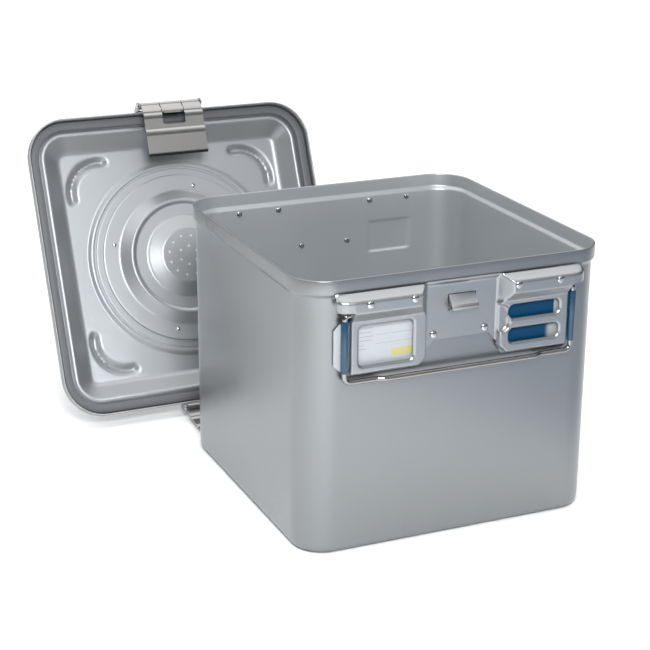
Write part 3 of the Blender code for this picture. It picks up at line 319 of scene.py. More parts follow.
def metal(name, base, shade, rough_low, rough_high, stretch_by=(1, 1, 1), grain_scale=900.0,
          bump=0.00001, metallic=1.0):
    material, tree, shader = new_material(name)
    shader.inputs["Metallic"].default_value = metallic
    node = tree.nodes.new("ShaderNodeGroup")
    node.node_tree = grain
    values = {"Stretch": stretch_by, "Grain Scale": grain_scale, "Base": (*base, 1),
              "Shade": (*shade, 1), "Rough Low": rough_low, "Rough High": rough_high}
    for label, value in values.items():
        node.inputs[label].default_value = value
    link(tree, (node.outputs["Colour"], shader.inputs["Base Color"]),
         (node.outputs["Roughness"], shader.inputs["Roughness"]))
    add_bump(tree, shader, node.outputs["Height"], bump)
    return material


DRAWN = (1, 1, 0.2)
TUB_METAL = metal("tub_anodised", (0.272, 0.283, 0.290), (0.240, 0.250, 0.257), 0.26, 0.36,
                  stretch_by=DRAWN, grain_scale=1400.0, bump=0.000003, metallic=0.88)
# Paler copy of the tub's finish for its inner side: painted light for the light bouncing inside the tub.
TUB_INSIDE_PAINTED_LIGHT = metal("tub_anodised_inside_painted_light", (0.49, 0.507, 0.522), (0.435, 0.452, 0.467), 0.34, 0.46,
                   stretch_by=DRAWN, grain_scale=1400.0, bump=0.000003, metallic=0.6)
PLATE_METAL = metal("plate_anodised", (0.345, 0.358, 0.368), (0.305, 0.318, 0.328), 0.27, 0.36,
                    metallic=0.9)
LID_METAL = metal("lid_anodised", (0.395, 0.407, 0.419), (0.355, 0.367, 0.379), 0.41, 0.50,
                  bump=0.000004, metallic=0.78)
RIVET_METAL = metal("rivet_polished", (0.52, 0.53, 0.54), (0.46, 0.47, 0.48), 0.08, 0.16)
RETAINER_METAL = metal("retainer_turned", (0.41, 0.422, 0.434), (0.37, 0.382, 0.394), 0.38, 0.48,
                       grain_scale=2600.0, bump=0.000003, metallic=0.76)
LATCH_METAL = metal("latch_satin", (0.36, 0.352, 0.345), (0.31, 0.302, 0.295), 0.26, 0.36, metallic=0.92)
# Near-black finish for the lip of the latch: a painted shade.
LATCH_LIP_PAINTED_SHADE = metal("latch_lip_painted_shade", (0.035, 0.035, 0.035), (0.02, 0.02, 0.02), 0.40, 0.55,
                   metallic=0.6)
CHROME = metal("wire_chrome", (0.34, 0.335, 0.325), (0.29, 0.286, 0.278), 0.03, 0.06, bump=0.000002)

# %% [markdown]
# Plastics, rubber and card scatter light inside, so they are not metallic. Their surface detail
# comes from noise at a scale that suits each one.

# %% Plastics, rubber and paper
def plain(name, base, shade, rough_low, rough_high, scale, bump, coat=0.0):
    material, tree, shader = new_material(name)
    shader.inputs["Coat Weight"].default_value = coat
    place = add_node(tree, "ShaderNodeTexCoord")
    pattern = add_node(tree, "ShaderNodeTexNoise", Scale=scale, Detail=4.0)
    tone = add_node(tree, "ShaderNodeMix", data_type="RGBA", A=(*shade, 1), B=(*base, 1))
    rough = add_node(tree, "ShaderNodeMapRange", To_Min=rough_low, To_Max=rough_high)
    link(tree, (place.outputs["Object"], pattern.inputs["Vector"]),
         (pattern.outputs["Fac"], tone.inputs["Factor"]), (pattern.outputs["Fac"], rough.inputs["Value"]),
         (tone.outputs["Result"], shader.inputs["Base Color"]),
         (rough.outputs["Result"], shader.inputs["Roughness"]))
    add_bump(tree, shader, pattern.outputs["Fac"], bump)
    return material


SLEEVE_BLUE = plain("sleeve_blue", (0.006, 0.052, 0.106), (0.004, 0.038, 0.078), 0.20, 0.32, 60.0, 0.00002,
                    coat=0.35)
GASKET_GREY = plain("gasket_silicone", (0.13, 0.133, 0.142), (0.10, 0.103, 0.112), 0.45, 0.6, 300.0, 0.00003)
FILTER_WHITE = plain("filter_fleece", (0.85, 0.85, 0.83), (0.75, 0.75, 0.73), 0.8, 0.95, 700.0, 0.0001)

# %% [markdown]
# The card and the tag carry flat fields of colour: ruled lines and a plain block on the card, and a bare
# metal end on the tag. The tag also carries a painted reflection, a grey field over its lower slot that
# fades in towards the tag's end. Each field is a box in the plane of the plate, and a soft step at its sides
# gives a mask. The back pair is turned half round, so left and right follow the sign of the depth.

# %% Printed fields
field, field_in, field_out = new_group(
    "field_mask",
    [("Left", FLOAT, 0.0), ("Right", FLOAT, 0.01), ("Low", FLOAT, 0.0), ("High", FLOAT, 0.01),
     ("Softness", FLOAT, 0.0001)],
    [("Mask", FLOAT)],
)
field_place = add_node(field, "ShaderNodeTexCoord")
axes = add_node(field, "ShaderNodeSeparateXYZ")
facing = add_node(field, "ShaderNodeMath", operation="SIGN")
flipped = add_node(field, "ShaderNodeMath", operation="MULTIPLY")
flipped.inputs[1].default_value = -1.0
link(field, (field_place.outputs["Object"], axes.inputs[0]), (axes.outputs["Y"], facing.inputs[0]),
     (multiply(field, [axes.outputs["X"], facing.outputs[0]]), flipped.inputs[0]))
across, upwards = flipped.outputs[0], axes.outputs["Z"]
limits = field_in.outputs
edges = []
for more, less in ((across, limits["Left"]), (limits["Right"], across),
                   (upwards, limits["Low"]), (limits["High"], upwards)):
    gap = add_node(field, "ShaderNodeMath", operation="SUBTRACT")
    soft = add_node(field, "ShaderNodeMapRange", interpolation_type="SMOOTHSTEP")
    link(field, (more, gap.inputs[0]), (less, gap.inputs[1]), (gap.outputs[0], soft.inputs["Value"]),
         (limits["Softness"], soft.inputs["From Max"]))
    edges.append(soft.outputs["Result"])
link(field, (multiply(field, edges), field_out.inputs["Mask"]))


def add_field(tree, below, colour, *measures):
    mask = tree.nodes.new("ShaderNodeGroup")
    mask.node_tree = field
    for label, value in zip(("Left", "Right", "Low", "High", "Softness"), measures):
        mask.inputs[label].default_value = mm(value)
    mix = add_node(tree, "ShaderNodeMix", data_type="RGBA", B=(*colour, 1))
    link(tree, (mask.outputs["Mask"], mix.inputs["Factor"]), (below, mix.inputs["A"]))
    return mix.outputs["Result"]


def add_fields(material, fields):
    tree = material.node_tree
    shader = tree.nodes["Principled BSDF"]
    colour = shader.inputs["Base Color"].links[0].from_socket
    for values in fields:
        colour = add_field(tree, colour, *values)
    link(tree, (colour, shader.inputs["Base Color"]))
    return material


INK, PALE_INK = (0.13, 0.14, 0.15), (0.26, 0.27, 0.29)
# The grey serves both the tag's bare end and a painted reflection on the tag.
YELLOW, BARE_END_AND_PAINTED_REFLECTION = (0.44, 0.405, 0.15), (0.29, 0.30, 0.305)
RULE_HEIGHTS, RULE_WIDTH, RULE_SOFT = (210.0, 202.6, 194.5), 0.35, 0.15
CAPTIONS = ((209.3, 13), (205.6, 12), (201.8, 13.5), (198.2, 12.5), (193.9, 5), (190.6, 7))
CAPTION_LEFT, CAPTION_HEIGHT, CAPTION_SOFT = -96.5, 0.9, 0.3
rules = [(INK, -80.4, -40, height, height + RULE_WIDTH, RULE_SOFT) for height in RULE_HEIGHTS]
captions = [(PALE_INK, CAPTION_LEFT, CAPTION_LEFT + length, height, height + CAPTION_HEIGHT, CAPTION_SOFT)
            for height, length in CAPTIONS]
CARD_PRINTED = add_fields(
    plain("card_printed", (0.41, 0.433, 0.447), (0.38, 0.403, 0.417), 0.45, 0.6, 400.0, 0.00001, coat=0.1),
    rules + captions + [(YELLOW, -66.0, -40, 181.6, 188.5, 0.3)])
# The first grey field, soft over 6 mm, is a painted reflection on the lower slot; the second is the tag's
# bare end.
TAG_BLUE = add_fields(
    plain("tag_anodised", (0.001, 0.044, 0.106), (0.001, 0.036, 0.088), 0.30, 0.40, 25.0, 0.00001),
    [(BARE_END_AND_PAINTED_REFLECTION, 86.0, 120, 170, 193.5, 6.0), (BARE_END_AND_PAINTED_REFLECTION, 94.6, 120, 170, 220, 0.5)])
TAG_BLUE.node_tree.nodes["Principled BSDF"].inputs["Specular IOR Level"].default_value = 0.15

# %% [markdown]
# ## The tub
#
# The tub is drawn from one sheet. Its collar stands a few millimetres proud of the wall, a short
# taper leads into the wall, and the wall turns into the bottom with a wide radius. The outside and
# the inside are one closed loft: up the outside, over the rim, and down the inside.

# %% Tub outline
CORNER_RADIUS = mm(34)
WALL_TAPER = mm(0.8)
FOOT_RADIUS = mm(8)
COLLAR_LOW = TUB_TOP - mm(12.5)
TAPER_LOW = COLLAR_LOW - mm(3.5)
POCKET_X = mm(73.0)
RECESS_HALF_X, RECESS_HALF_Z, RECESS_Z = mm_all(24.5, 17.5, 196.5)
RECESS_DEPTH, RECESS_RAMP, RECESS_SPARE, RECESS_ROWS = mm(1.15), mm(3.2), mm(4), 46


def tub_stations():
    places = [(COLLAR_STEP + WALL_TAPER + FOOT_RADIUS - reach, FOOT_RADIUS + rise)
              for reach, rise in arc((0, 0), FOOT_RADIUS, -90, 0, ROUND_STEPS)]
    low, high = RECESS_Z - RECESS_HALF_Z - RECESS_SPARE, RECESS_Z + RECESS_HALF_Z + RECESS_SPARE
    for step in range(RECESS_ROWS + 1):
        height = low + (high - low) * step / RECESS_ROWS
        places.append((COLLAR_STEP + WALL_TAPER * (TAPER_LOW - height) / TAPER_LOW, height))
    places += [(COLLAR_STEP, TAPER_LOW - mm(1.2)), (COLLAR_STEP - mm(0.15), TAPER_LOW),
               (COLLAR_STEP - mm(0.5), TAPER_LOW + mm(0.7)), (mm(0.5), COLLAR_LOW - mm(0.7)),
               (mm(0.1), COLLAR_LOW), (0, COLLAR_LOW + mm(1))]
    inside = [(inset + TUB_WALL, height) for inset, height in reversed(places) if height > FOOT_RADIUS]
    rim = [(TUB_WALL / 2 - reach, TUB_TOP - TUB_WALL / 2 + rise)
           for reach, rise in arc((0, 0), TUB_WALL / 2, 0, 180, ROUND_STEPS)]
    inner = FOOT_RADIUS - TUB_WALL
    foot = [(COLLAR_STEP + WALL_TAPER + TUB_WALL + inner - reach, FOOT_RADIUS + rise)
            for reach, rise in arc((0, 0), inner, 0, -90, ROUND_STEPS)]
    return [(RIM_HALF - inset, max(CORNER_RADIUS - inset, mm(1)), height)
            for inset, height in places + rim + inside + foot]


def ramp(value, high):
    share = clamp(value / high)
    return share * share * (3 - 2 * share)


def press_recess(shell):
    for vert in shell.verts:
        x, y, z = vert.co
        if abs(y) < WALL_FACE - mm(6) or abs(x) > RIM_HALF - CORNER_RADIUS:
            continue
        side = -1 if y < 0 else 1
        from_side = RECESS_HALF_X - abs(x - side * POCKET_X)
        from_top = RECESS_HALF_Z - abs(z - RECESS_Z)
        vert.co.y += side * RECESS_DEPTH * ramp(from_side, RECESS_RAMP) * ramp(from_top, RECESS_RAMP)


# %% [markdown]
# The inner side gets a second finish: a paler, duller copy of the outer one, whose extra brightness is
# painted light standing in for the light that bounces round inside the tub. A face is on the inner side when
# it looks towards the middle of the tub.

# %% Tub
SHELL_STEPS = 480
tub = draw_shell(tub_stations(), SHELL_STEPS)
press_recess(tub)
tub_piece = finish_piece("tub", tub, TUB_METAL, "tub", replaces=["tub_shell"])
# Faces that look in get the paler copy, painted light inside the tub.
tub_piece.data.materials.append(TUB_INSIDE_PAINTED_LIGHT)
for face in tub_piece.data.polygons:
    x, y, z = face.center
    on_rim = face.normal.z > 0.6 and z > TUB_TOP - mm(2)
    on_bottom = face.normal.z > 0.5 and z < FOOT_RADIUS
    looks_in = face.normal.x * x + face.normal.y * y < 0
    if (looks_in or on_bottom) and not on_rim:
        face.material_index = 1

# %% [markdown]
# ## The lid
#
# The lid is drawn the same way, in its own frame: x to the right, y up along the lid and z towards
# its inner side. From the lip inwards come the channel for the gasket, a raised crest, a slope
# and the sunk panel. The panel carries a round raised seat and four curved grooves that stiffen
# its corners.

# %% Lid outline
LID_CORNER, LEAST_CORNER = mm_all(42.6, 5.4)
LID_SHEET, LIP_RADIUS, FLANGE_RADIUS = mm_all(1.5, 0.9, 3.0)
PANEL_INSET, PANEL_Z = mm_all(37.2, -24.0)
SEAT_OUTER, SEAT_Z = mm_all(107.2, -21.2)
GROOVE_MIDDLE, GROOVE_RADIUS, GROOVE_WIDTH, GROOVE_DEPTH = mm_all(80, 33, 6.8, 4.4)
GROOVE_START, GROOVE_END = math.radians(-9), math.radians(99)
PANEL_ROWS = 26
CHANNEL_AND_SLOPE = mm_pairs(
    (1.9, -3), (2.1, -9.2), (3.0, -10.2), (11.6, -10.2), (12.8, -9.8), (14.2, -8.9), (15.2, -8.3),
    (16.2, -8.0), (17.4, -8.0), (18.4, -8.4), (19.4, -9.3), (20.6, -10.6), (30.8, -20.4), (32.4, -21.9),
    (34.0, -23.0), (35.6, -23.7))
BACK_OF_CHANNEL = mm_pairs((13.6, -11.7), (14.6, -11.2), (15.4, -10.0), (16.4, -9.6), (17.4, -10.3),
                           (29.6, -22.2), (31.6, -24.0), (33.6, -25.1))
SEAT_RINGS = mm_pairs((104.2, -0.5), (103.0, 0), (102.0, 0), (101.0, -0.1), (100.4, -0.7), (98.6, -0.7),
                      (98.0, -0.1), (97.2, 0), (96.4, 0), (60.0, 0))


def inset_station(inset, height):
    return (LID_HALF - inset, max(LID_CORNER - inset, LEAST_CORNER), height)


def disc_stations(drop):
    rings = [(SEAT_OUTER, PANEL_Z), (mm(106.4), PANEL_Z + mm(0.35))]
    rings += [(radius, SEAT_Z + rise) for radius, rise in SEAT_RINGS]
    return [(0, 0, height - drop, radius, 0) for radius, height in rings]


def panel_stations(drop):
    half, corner, height = inset_station(PANEL_INSET, PANEL_Z - drop)
    return [(half, corner, height, SEAT_OUTER, 1 - step / PANEL_ROWS) for step in range(1, PANEL_ROWS)]


def lid_stations():
    front = [inset_station(*place) for place in CHANNEL_AND_SLOPE + [(PANEL_INSET, PANEL_Z)]]
    front += panel_stations(0) + disc_stations(0)
    lip = [inset_station(LIP_RADIUS - reach, -LIP_RADIUS + rise)
           for reach, rise in arc((0, 0), LIP_RADIUS, 0, 180, 6)]
    flange = arc(mm_all(3.0, -8.7), FLANGE_RADIUS, 180, 270, 6)
    flange += BACK_OF_CHANNEL + [(mm(35.6), PANEL_Z - LID_SHEET)]
    back = [inset_station(*place) for place in flange]
    back += panel_stations(LID_SHEET) + disc_stations(LID_SHEET)
    return front[::-1] + lip + back


def press_grooves(shell):
    limit = LID_HALF - PANEL_INSET
    for vert in shell.verts:
        x, y, z = abs(vert.co.x), abs(vert.co.y), vert.co.z
        if max(x, y) > limit or z > PANEL_Z + mm(1) or math.hypot(x, y) < SEAT_OUTER - mm(8):
            continue
        turn = math.atan2(y - GROOVE_MIDDLE, x - GROOVE_MIDDLE)
        turn = min(max(turn, GROOVE_START), GROOVE_END)
        near_x = GROOVE_MIDDLE + GROOVE_RADIUS * math.cos(turn)
        near_y = GROOVE_MIDDLE + GROOVE_RADIUS * math.sin(turn)
        away = math.hypot(x - near_x, y - near_y)
        if away < GROOVE_WIDTH:
            vert.co.z -= GROOVE_DEPTH * 0.5 * (1 + math.cos(math.pi * away / GROOVE_WIDTH))


# %% [markdown]
# One loft makes both skins: from the middle out along the inner side, round the lip, and back along
# the outer side. A solidify modifier would be quicker, but it changes the sheet where the sides lean.

# %% Lid
lid = draw_shell(lid_stations(), SHELL_STEPS)
press_grooves(lid)
finish_piece("lid", lid, LID_METAL, "lid", LID_PLACE, replaces=["lid_shell"])

# %% [markdown]
# The gasket is a soft grey ring that fills the channel. It could be a bevelled curve, but the same
# kind of loft, closed on itself, follows the channel exactly and keeps its rounded shoulders.

# %% Gasket
gasket_places = mm_pairs((3.2, -9.9), (3.2, -6.9), (3.5, -6.4), (4.2, -6.1), (7.4, -5.9), (10.6, -6.1),
                         (11.3, -6.4), (11.6, -6.9), (11.6, -9.9))
gasket_steps = SHELL_STEPS // 2
gasket = draw_shell([inset_station(*place) for place in gasket_places], gasket_steps, closed_ring=True)
finish_piece("gasket", gasket, GASKET_GREY, "lid", LID_PLACE, replaces=["lid_gasket"])


# %% [markdown]
# ## The plate that holds the filter
#
# It is a turned shape, so it starts from its outline in one plane, and a spin carries the outline
# round the axis. The ring of small holes in its middle is cut afterwards.

# %% Turn an outline
def turned(profile, steps, place=None):
    data = bmesh.new()
    verts = [data.verts.new((radius, 0, height)) for radius, height in profile]
    edges = [data.edges.new(pair) for pair in zip(verts, verts[1:])]
    bmesh.ops.spin(data, geom=verts + edges, axis=(0, 0, 1), cent=(0, 0, 0), angle=2 * math.pi,
                   steps=steps, use_merge=True)
    bmesh.ops.remove_doubles(data, verts=data.verts, dist=mm(0.001))
    if place is not None:
        bmesh.ops.transform(data, matrix=place, verts=data.verts)
    return data


# %% [markdown]
# The plate's steps were read along one radius. Front and back are turned together, and one boolean
# drills all the holes, because that keeps each hole round and the sheet closed.

# %% Filter retaining plate
RETAINER_Z, RETAINER_SHEET = mm_all(-18.9, 1.2)
HOLE_RADIUS = mm(1.7)
HOLE_RINGS = ((mm(21.8), 12, 15), (mm(10.0), 6, 23))
retainer_outline = mm_pairs(
    (91, 0), (90.6, 0.2), (90.2, 0.3), (89.2, 0.3), (75.2, 0.3), (74.2, 0.3), (73.0, 0.6), (71.8, 1.4),
    (71.0, 2.03), (64.2, 7.37), (63.4, 8.0), (62.4, 8.7), (61.5, 8.9), (60.0, 8.7), (58.6, 8.0),
    (57.8, 7.5), (57.0, 7.3), (56.2, 7.3), (46.2, 7.3), (45.2, 7.3), (44.0, 7.6), (43.0, 8.3),
    (42.2, 8.62), (31.8, 12.78), (31.0, 13.1), (30.0, 13.6), (29.0, 13.8), (28.0, 13.8), (0, 13.8))
retainer_face = [(radius, RETAINER_Z + rise) for radius, rise in retainer_outline]
retainer_back = [(radius, height - RETAINER_SHEET) for radius, height in retainer_face]
retainer = turned(retainer_face[::-1] + retainer_back, 192)
holes = bmesh.new()
for ring, count, start in HOLE_RINGS:
    for index in range(count):
        turn = math.radians(start + 360 * index / count)
        middle = (ring * math.cos(turn), ring * math.sin(turn), RETAINER_Z + mm(13))
        add_drill(holes, HOLE_RADIUS, mm(8), Matrix.Translation(middle), 20)
retainer = cut(retainer, holes)
finish_piece("retaining_plate", retainer, RETAINER_METAL, "filter_holder", LID_PLACE,
             replaces=["filter_retaining_plate"])

# %% [markdown]
# The filter is a soft sheet that lies against the back of the plate, so it rises under the middle
# and shows white through the holes.

# %% Filter
FLEECE_SHEET, FLEECE_GAP = mm_all(0.6, 0.35)
flat_z = RETAINER_Z - RETAINER_SHEET - mm(1.3) + mm(0.9)
fleece = [(mm(88), flat_z), (mm(64.5), flat_z)]
fleece += [(radius, height - FLEECE_GAP) for radius, height in retainer_back if radius < mm(64)]
under = [(radius, height - FLEECE_SHEET) for radius, height in reversed(fleece)]
finish_piece("filter_fleece", turned(fleece + under + fleece[:1], 128), FILTER_WHITE, "filter_holder",
             LID_PLACE, replaces=["filter_sheet"])


# %% [markdown]
# ## The handle plates
#
# Each plate is one pressed sheet: two pockets beside a flat web. Pressed metal has no sharp steps,
# so a plain grid is laid over the wall first and every point is pushed out to the depth that the
# press gives it there. A few rounds of smoothing on the depth alone then round every bend.

# %% Handle plate sizes
PLATE_SHEET = mm(1.2)
PLATE_FACE = WALL_FACE + mm(0.3)
PLATE_TOP, BAND_TOP, BAND_LOW, FACE_TOP = mm_all(244.2, 238.9, 227.2, 218.7)
EAR_LOW, WEB_LOW, POCKET_LOW = mm_all(229.4, 190.2, 169.2)
WEB_LEFT, WEB_RIGHT, WEB_CUT = mm_all(33.0, 36.6, 8.0)
POCKET_EDGE, POCKET_SIDE, EAR_EDGE = mm_all(106.5, 107.0, 120.5)
BAND_DEPTH, FACE_DEPTH, SIDE_DEPTH, NOTCH_DEPTH = mm_all(13.8, 6.0, 2.2, 2.6)
PRESSED = [
    (POCKET_LOW, 0), (POCKET_LOW + mm(0.8), FACE_DEPTH - mm(1.6)), (POCKET_LOW + mm(2.4), FACE_DEPTH),
    (FACE_TOP, FACE_DEPTH), (BAND_LOW - mm(0.8), BAND_DEPTH - mm(1.6)), (BAND_LOW + mm(0.8), BAND_DEPTH),
    (BAND_TOP - mm(0.8), BAND_DEPTH), (BAND_TOP + mm(0.7), BAND_DEPTH - mm(1.8)), (PLATE_TOP, mm(3.4)),
]
FACET = [(FACE_TOP - mm(3.0), FACE_DEPTH / mm(1.6)), (FACE_TOP + mm(1.0), BAND_DEPTH / mm(9.8))]
EAR_FALL = [(0, 1), (mm(6.3), 0.93), (mm(11.2), 0.76), (mm(14.0), 0.50)]
TAPER_FOOT, TAPER_HEIGHT = mm_all(240, 3.5)
FOOT_CUT, FOOT_CUT_TOP, FOOT_CUT_HEIGHT = mm_all(6.2, 8.7, 6.3)
NOTCH_Z, NOTCH_HALF, NOTCH_START, NOTCH_REACH = mm_all(203, 12.4, 1.0, 8.6)
NOTCH_SLOPE = 1.6
WINDOW = mm_all(-99.0, -47.0, 177.7, 214.5, 4.2)
UPPER_SLOT = mm_all(47.2, 98.2, 201.5, 214.7, 4.8)
LOWER_SLOT = mm_all(47.2, 98.2, 179.3, 192.5, 4.8)
OPENINGS = (WINDOW, UPPER_SLOT, LOWER_SLOT)
ROLL_WIDTH, ROLL_DEPTH = mm_all(2.0, 1.4)


def along(places, value):
    for (low, first), (high, last) in zip(places, places[1:]):
        if value <= high:
            return first + (last - first) * clamp((value - low) / (high - low))
    return places[-1][1]


def web_side(x):
    return WEB_RIGHT if x > 0 else WEB_LEFT


def plate_depth(x, z):
    collar = COLLAR_STEP * clamp((z - TAPER_FOOT) / TAPER_HEIGHT)
    foot = web_side(x) + FOOT_CUT * clamp((POCKET_LOW + FOOT_CUT_TOP - z) / FOOT_CUT_HEIGHT)
    out = abs(x) - foot
    if out <= 0:
        return collar
    depth = min(along(PRESSED, z), out * along(FACET, z))
    place = (z - NOTCH_Z) / NOTCH_HALF
    if x > 0 and abs(place) < 1:
        reach = NOTCH_START + NOTCH_REACH * math.sqrt(1 - place ** 4)
        depth = min(depth, NOTCH_DEPTH + max(out - reach, 0) * NOTCH_SLOPE)
    past = abs(x) - POCKET_EDGE
    if past > 0 and z > EAR_LOW - mm(1):
        depth = along(PRESSED, z) * along(EAR_FALL, past)
    elif past > 0:
        share = min(past / (POCKET_SIDE - POCKET_EDGE), 1)
        depth = max(depth - (depth - SIDE_DEPTH) * share, min(depth, SIDE_DEPTH))
    return max(depth, collar)


# %% [markdown]
# The outline and the windows are given as distances: below zero inside, above zero outside. Points
# of the grid that lie close to such a line are moved onto it, faces are split along it, and the
# faces beyond it are deleted. That leaves a clean cut edge in a sheet that is still one skin.

# %% Trim a sheet along a line
def box_distance(x, z, left, right, low, high, radius=0):
    away_x = abs(x - (left + right) / 2) - (right - left) / 2 + radius
    away_z = abs(z - (low + high) / 2) - (high - low) / 2 + radius
    return math.hypot(max(away_x, 0), max(away_z, 0)) + min(max(away_x, away_z), 0) - radius


def plate_distance(x, z):
    web = web_side(x)
    band = box_distance(x, z, -EAR_EDGE, EAR_EDGE, EAR_LOW, PLATE_TOP, mm(1.5))
    pocket = box_distance(abs(x), z, web, POCKET_SIDE, POCKET_LOW, PLATE_TOP - mm(2), mm(1.2))
    corner = (web + FOOT_CUT - abs(x)) * 0.815 - (z - POCKET_LOW) * 0.579
    flap = max((WEB_LOW - max(abs(x) - web + WEB_CUT, 0) - z) * 0.9, abs(x) - web - mm(0.5))
    return min(band, max(pocket, corner), flap)


def trim(sheet, distance, cell):
    step = cell / 8
    moved = []
    for vert in sheet.verts:
        x, z = vert.co.x, vert.co.z
        gap = distance(x, z)
        if abs(gap) < cell * 0.6:
            vert.co.x -= gap * (distance(x + step, z) - distance(x - step, z)) / (2 * step)
            vert.co.z -= gap * (distance(x, z + step) - distance(x, z - step)) / (2 * step)
            moved.append(vert)
    bmesh.ops.connect_verts(sheet, verts=moved)
    middles = [(face, face.calc_center_median()) for face in sheet.faces]
    gone = [face for face, middle in middles if distance(middle.x, middle.z) > 0]
    bmesh.ops.delete(sheet, geom=gone, context="FACES")
    loose = [vert for vert in sheet.verts if not vert.link_faces]
    bmesh.ops.delete(sheet, geom=loose, context="VERTS")


def punch(sheet, box, cell):
    trim(sheet, lambda x, z: -box_distance(x, z, *box), cell)


# %% [markdown]
# The rims of the windows are rolled inwards, towards the wall, which is what gives them their
# bright edge. The opening for the catch is a plain punched one, so it has no roll.

# %% Handle plates
CATCH_LEFT, CATCH_RIGHT, CATCH_TOP, CATCH_LOW, CATCH_SPARE = mm_all(-11.2, 14.6, 230.0, 215.2, 0.9)
ROWS, COLUMNS, GRID_SPARE, SMOOTH_ROUNDS = 98, 312, mm(0.6), 3


def build_plate(name, place, node):
    sheet = bmesh.new()
    bmesh.ops.create_grid(sheet, x_segments=COLUMNS, y_segments=ROWS, size=1)
    wide = EAR_EDGE + GRID_SPARE
    tall = (PLATE_TOP - POCKET_LOW) / 2 + GRID_SPARE
    for vert in sheet.verts:
        vert.co = (vert.co.x * wide, 0, (PLATE_TOP + POCKET_LOW) / 2 + vert.co.y * tall)
    cell = 2 * wide / COLUMNS
    trim(sheet, plate_distance, cell)
    catch_hole = (CATCH_LEFT - CATCH_SPARE, CATCH_RIGHT + CATCH_SPARE, CATCH_LOW, CATCH_TOP + CATCH_SPARE,
                  mm(1.5))
    for box in (*OPENINGS, catch_hole):
        punch(sheet, box, cell)
    for vert in sheet.verts:
        vert.co.y = -(PLATE_FACE + PLATE_SHEET + plate_depth(vert.co.x, vert.co.z))
    for _ in range(SMOOTH_ROUNDS):
        bmesh.ops.smooth_vert(sheet, verts=sheet.verts, factor=0.5, use_axis_y=True)
    for vert in sheet.verts:
        for box in OPENINGS:
            gap = box_distance(vert.co.x, vert.co.z, *box)
            if gap < ROLL_WIDTH:
                vert.co.y += ROLL_DEPTH * (1 - max(gap, 0) / ROLL_WIDTH) ** 2
    bmesh.ops.solidify(sheet, geom=sheet.faces[:], thickness=PLATE_SHEET)
    finish_piece(name, sheet, PLATE_METAL, "tub", place, replaces=[node])


for side, place in SIDES:
    build_plate("pressed_plate_" + side, place, side + "_plate")

# %% [markdown]
# The catch that the lid's latch grips is a tongue of the same sheet, rolled over at its lower end.
# Its side view is an outline with an arc, and the outline is drawn out sideways.

# %% Catches
def draw_out(outline, left, right):
    data = bmesh.new()
    verts = [data.verts.new((left, y, z)) for y, z in outline]
    bmesh.ops.contextual_create(data, geom=verts)
    grown = bmesh.ops.extrude_face_region(data, geom=data.faces[:])["geom"]
    moved = [item for item in grown if isinstance(item, bmesh.types.BMVert)]
    bmesh.ops.translate(data, verts=moved, vec=(right - left, 0, 0))
    bmesh.ops.recalc_face_normals(data, faces=data.faces)
    return data


def build_catch(name, place, node):
    reach = PLATE_FACE + mm(6.2)
    roll_z, roll, bore_radius = mm_all(219.7, 3.6, 1.6)
    outline = [(-PLATE_FACE, CATCH_TOP), (-(PLATE_FACE + PLATE_SHEET), CATCH_TOP)]
    outline += [(-y, z) for y, z in arc((reach, roll_z), roll, 62, -154, 26)]
    outline.append((-PLATE_FACE, CATCH_TOP - mm(2.4)))
    tongue = draw_out(outline, CATCH_LEFT, CATCH_RIGHT)
    ends = [edge for edge in tongue.edges if abs(edge.verts[0].co.x - edge.verts[1].co.x) < mm(0.01)]
    bmesh.ops.bevel(tongue, geom=ends, offset=mm(0.3), segments=2, profile=0.5, affect="EDGES", material=-1)
    bore = bmesh.new()
    turn = Matrix.Translation((0, -reach, roll_z)) @ Matrix.Rotation(math.pi / 2, 4, "Y")
    add_drill(bore, bore_radius, mm(40), turn, 24)
    finish_piece(name, cut(tongue, bore), PLATE_METAL, "tub", place, replaces=[node])


for side, place in SIDES:
    build_catch("catch_" + side, place, side + "_catch")

# %% [markdown]
# A rivet is a turned part: a low domed head outside, a shank, and a smaller head inside the tub. One
# outline makes all of it, where a sphere and cylinders would have to be joined.

# %% Rivets
RIVET_Z, LOW_RIVET_X, LOW_RIVET_Z = mm_all(235.5, 25.3, 195.4)
RIVET_SPOTS = [(x, RIVET_Z, BAND_DEPTH) for x in mm_all(-92.5, -50.5, 50.5, 92.5)]
RIVET_SPOTS += [(-LOW_RIVET_X, LOW_RIVET_Z, 0), (LOW_RIVET_X, LOW_RIVET_Z, 0)]
HEAD_RADIUS, HEAD_RISE, HEAD_EDGE, SHANK_RADIUS = mm_all(3.4, 1.25, 0.35, 1.5)
TAIL_RADIUS, TAIL_RISE, BARREL_OUTER = mm_all(2.9, 0.9, 3.0)


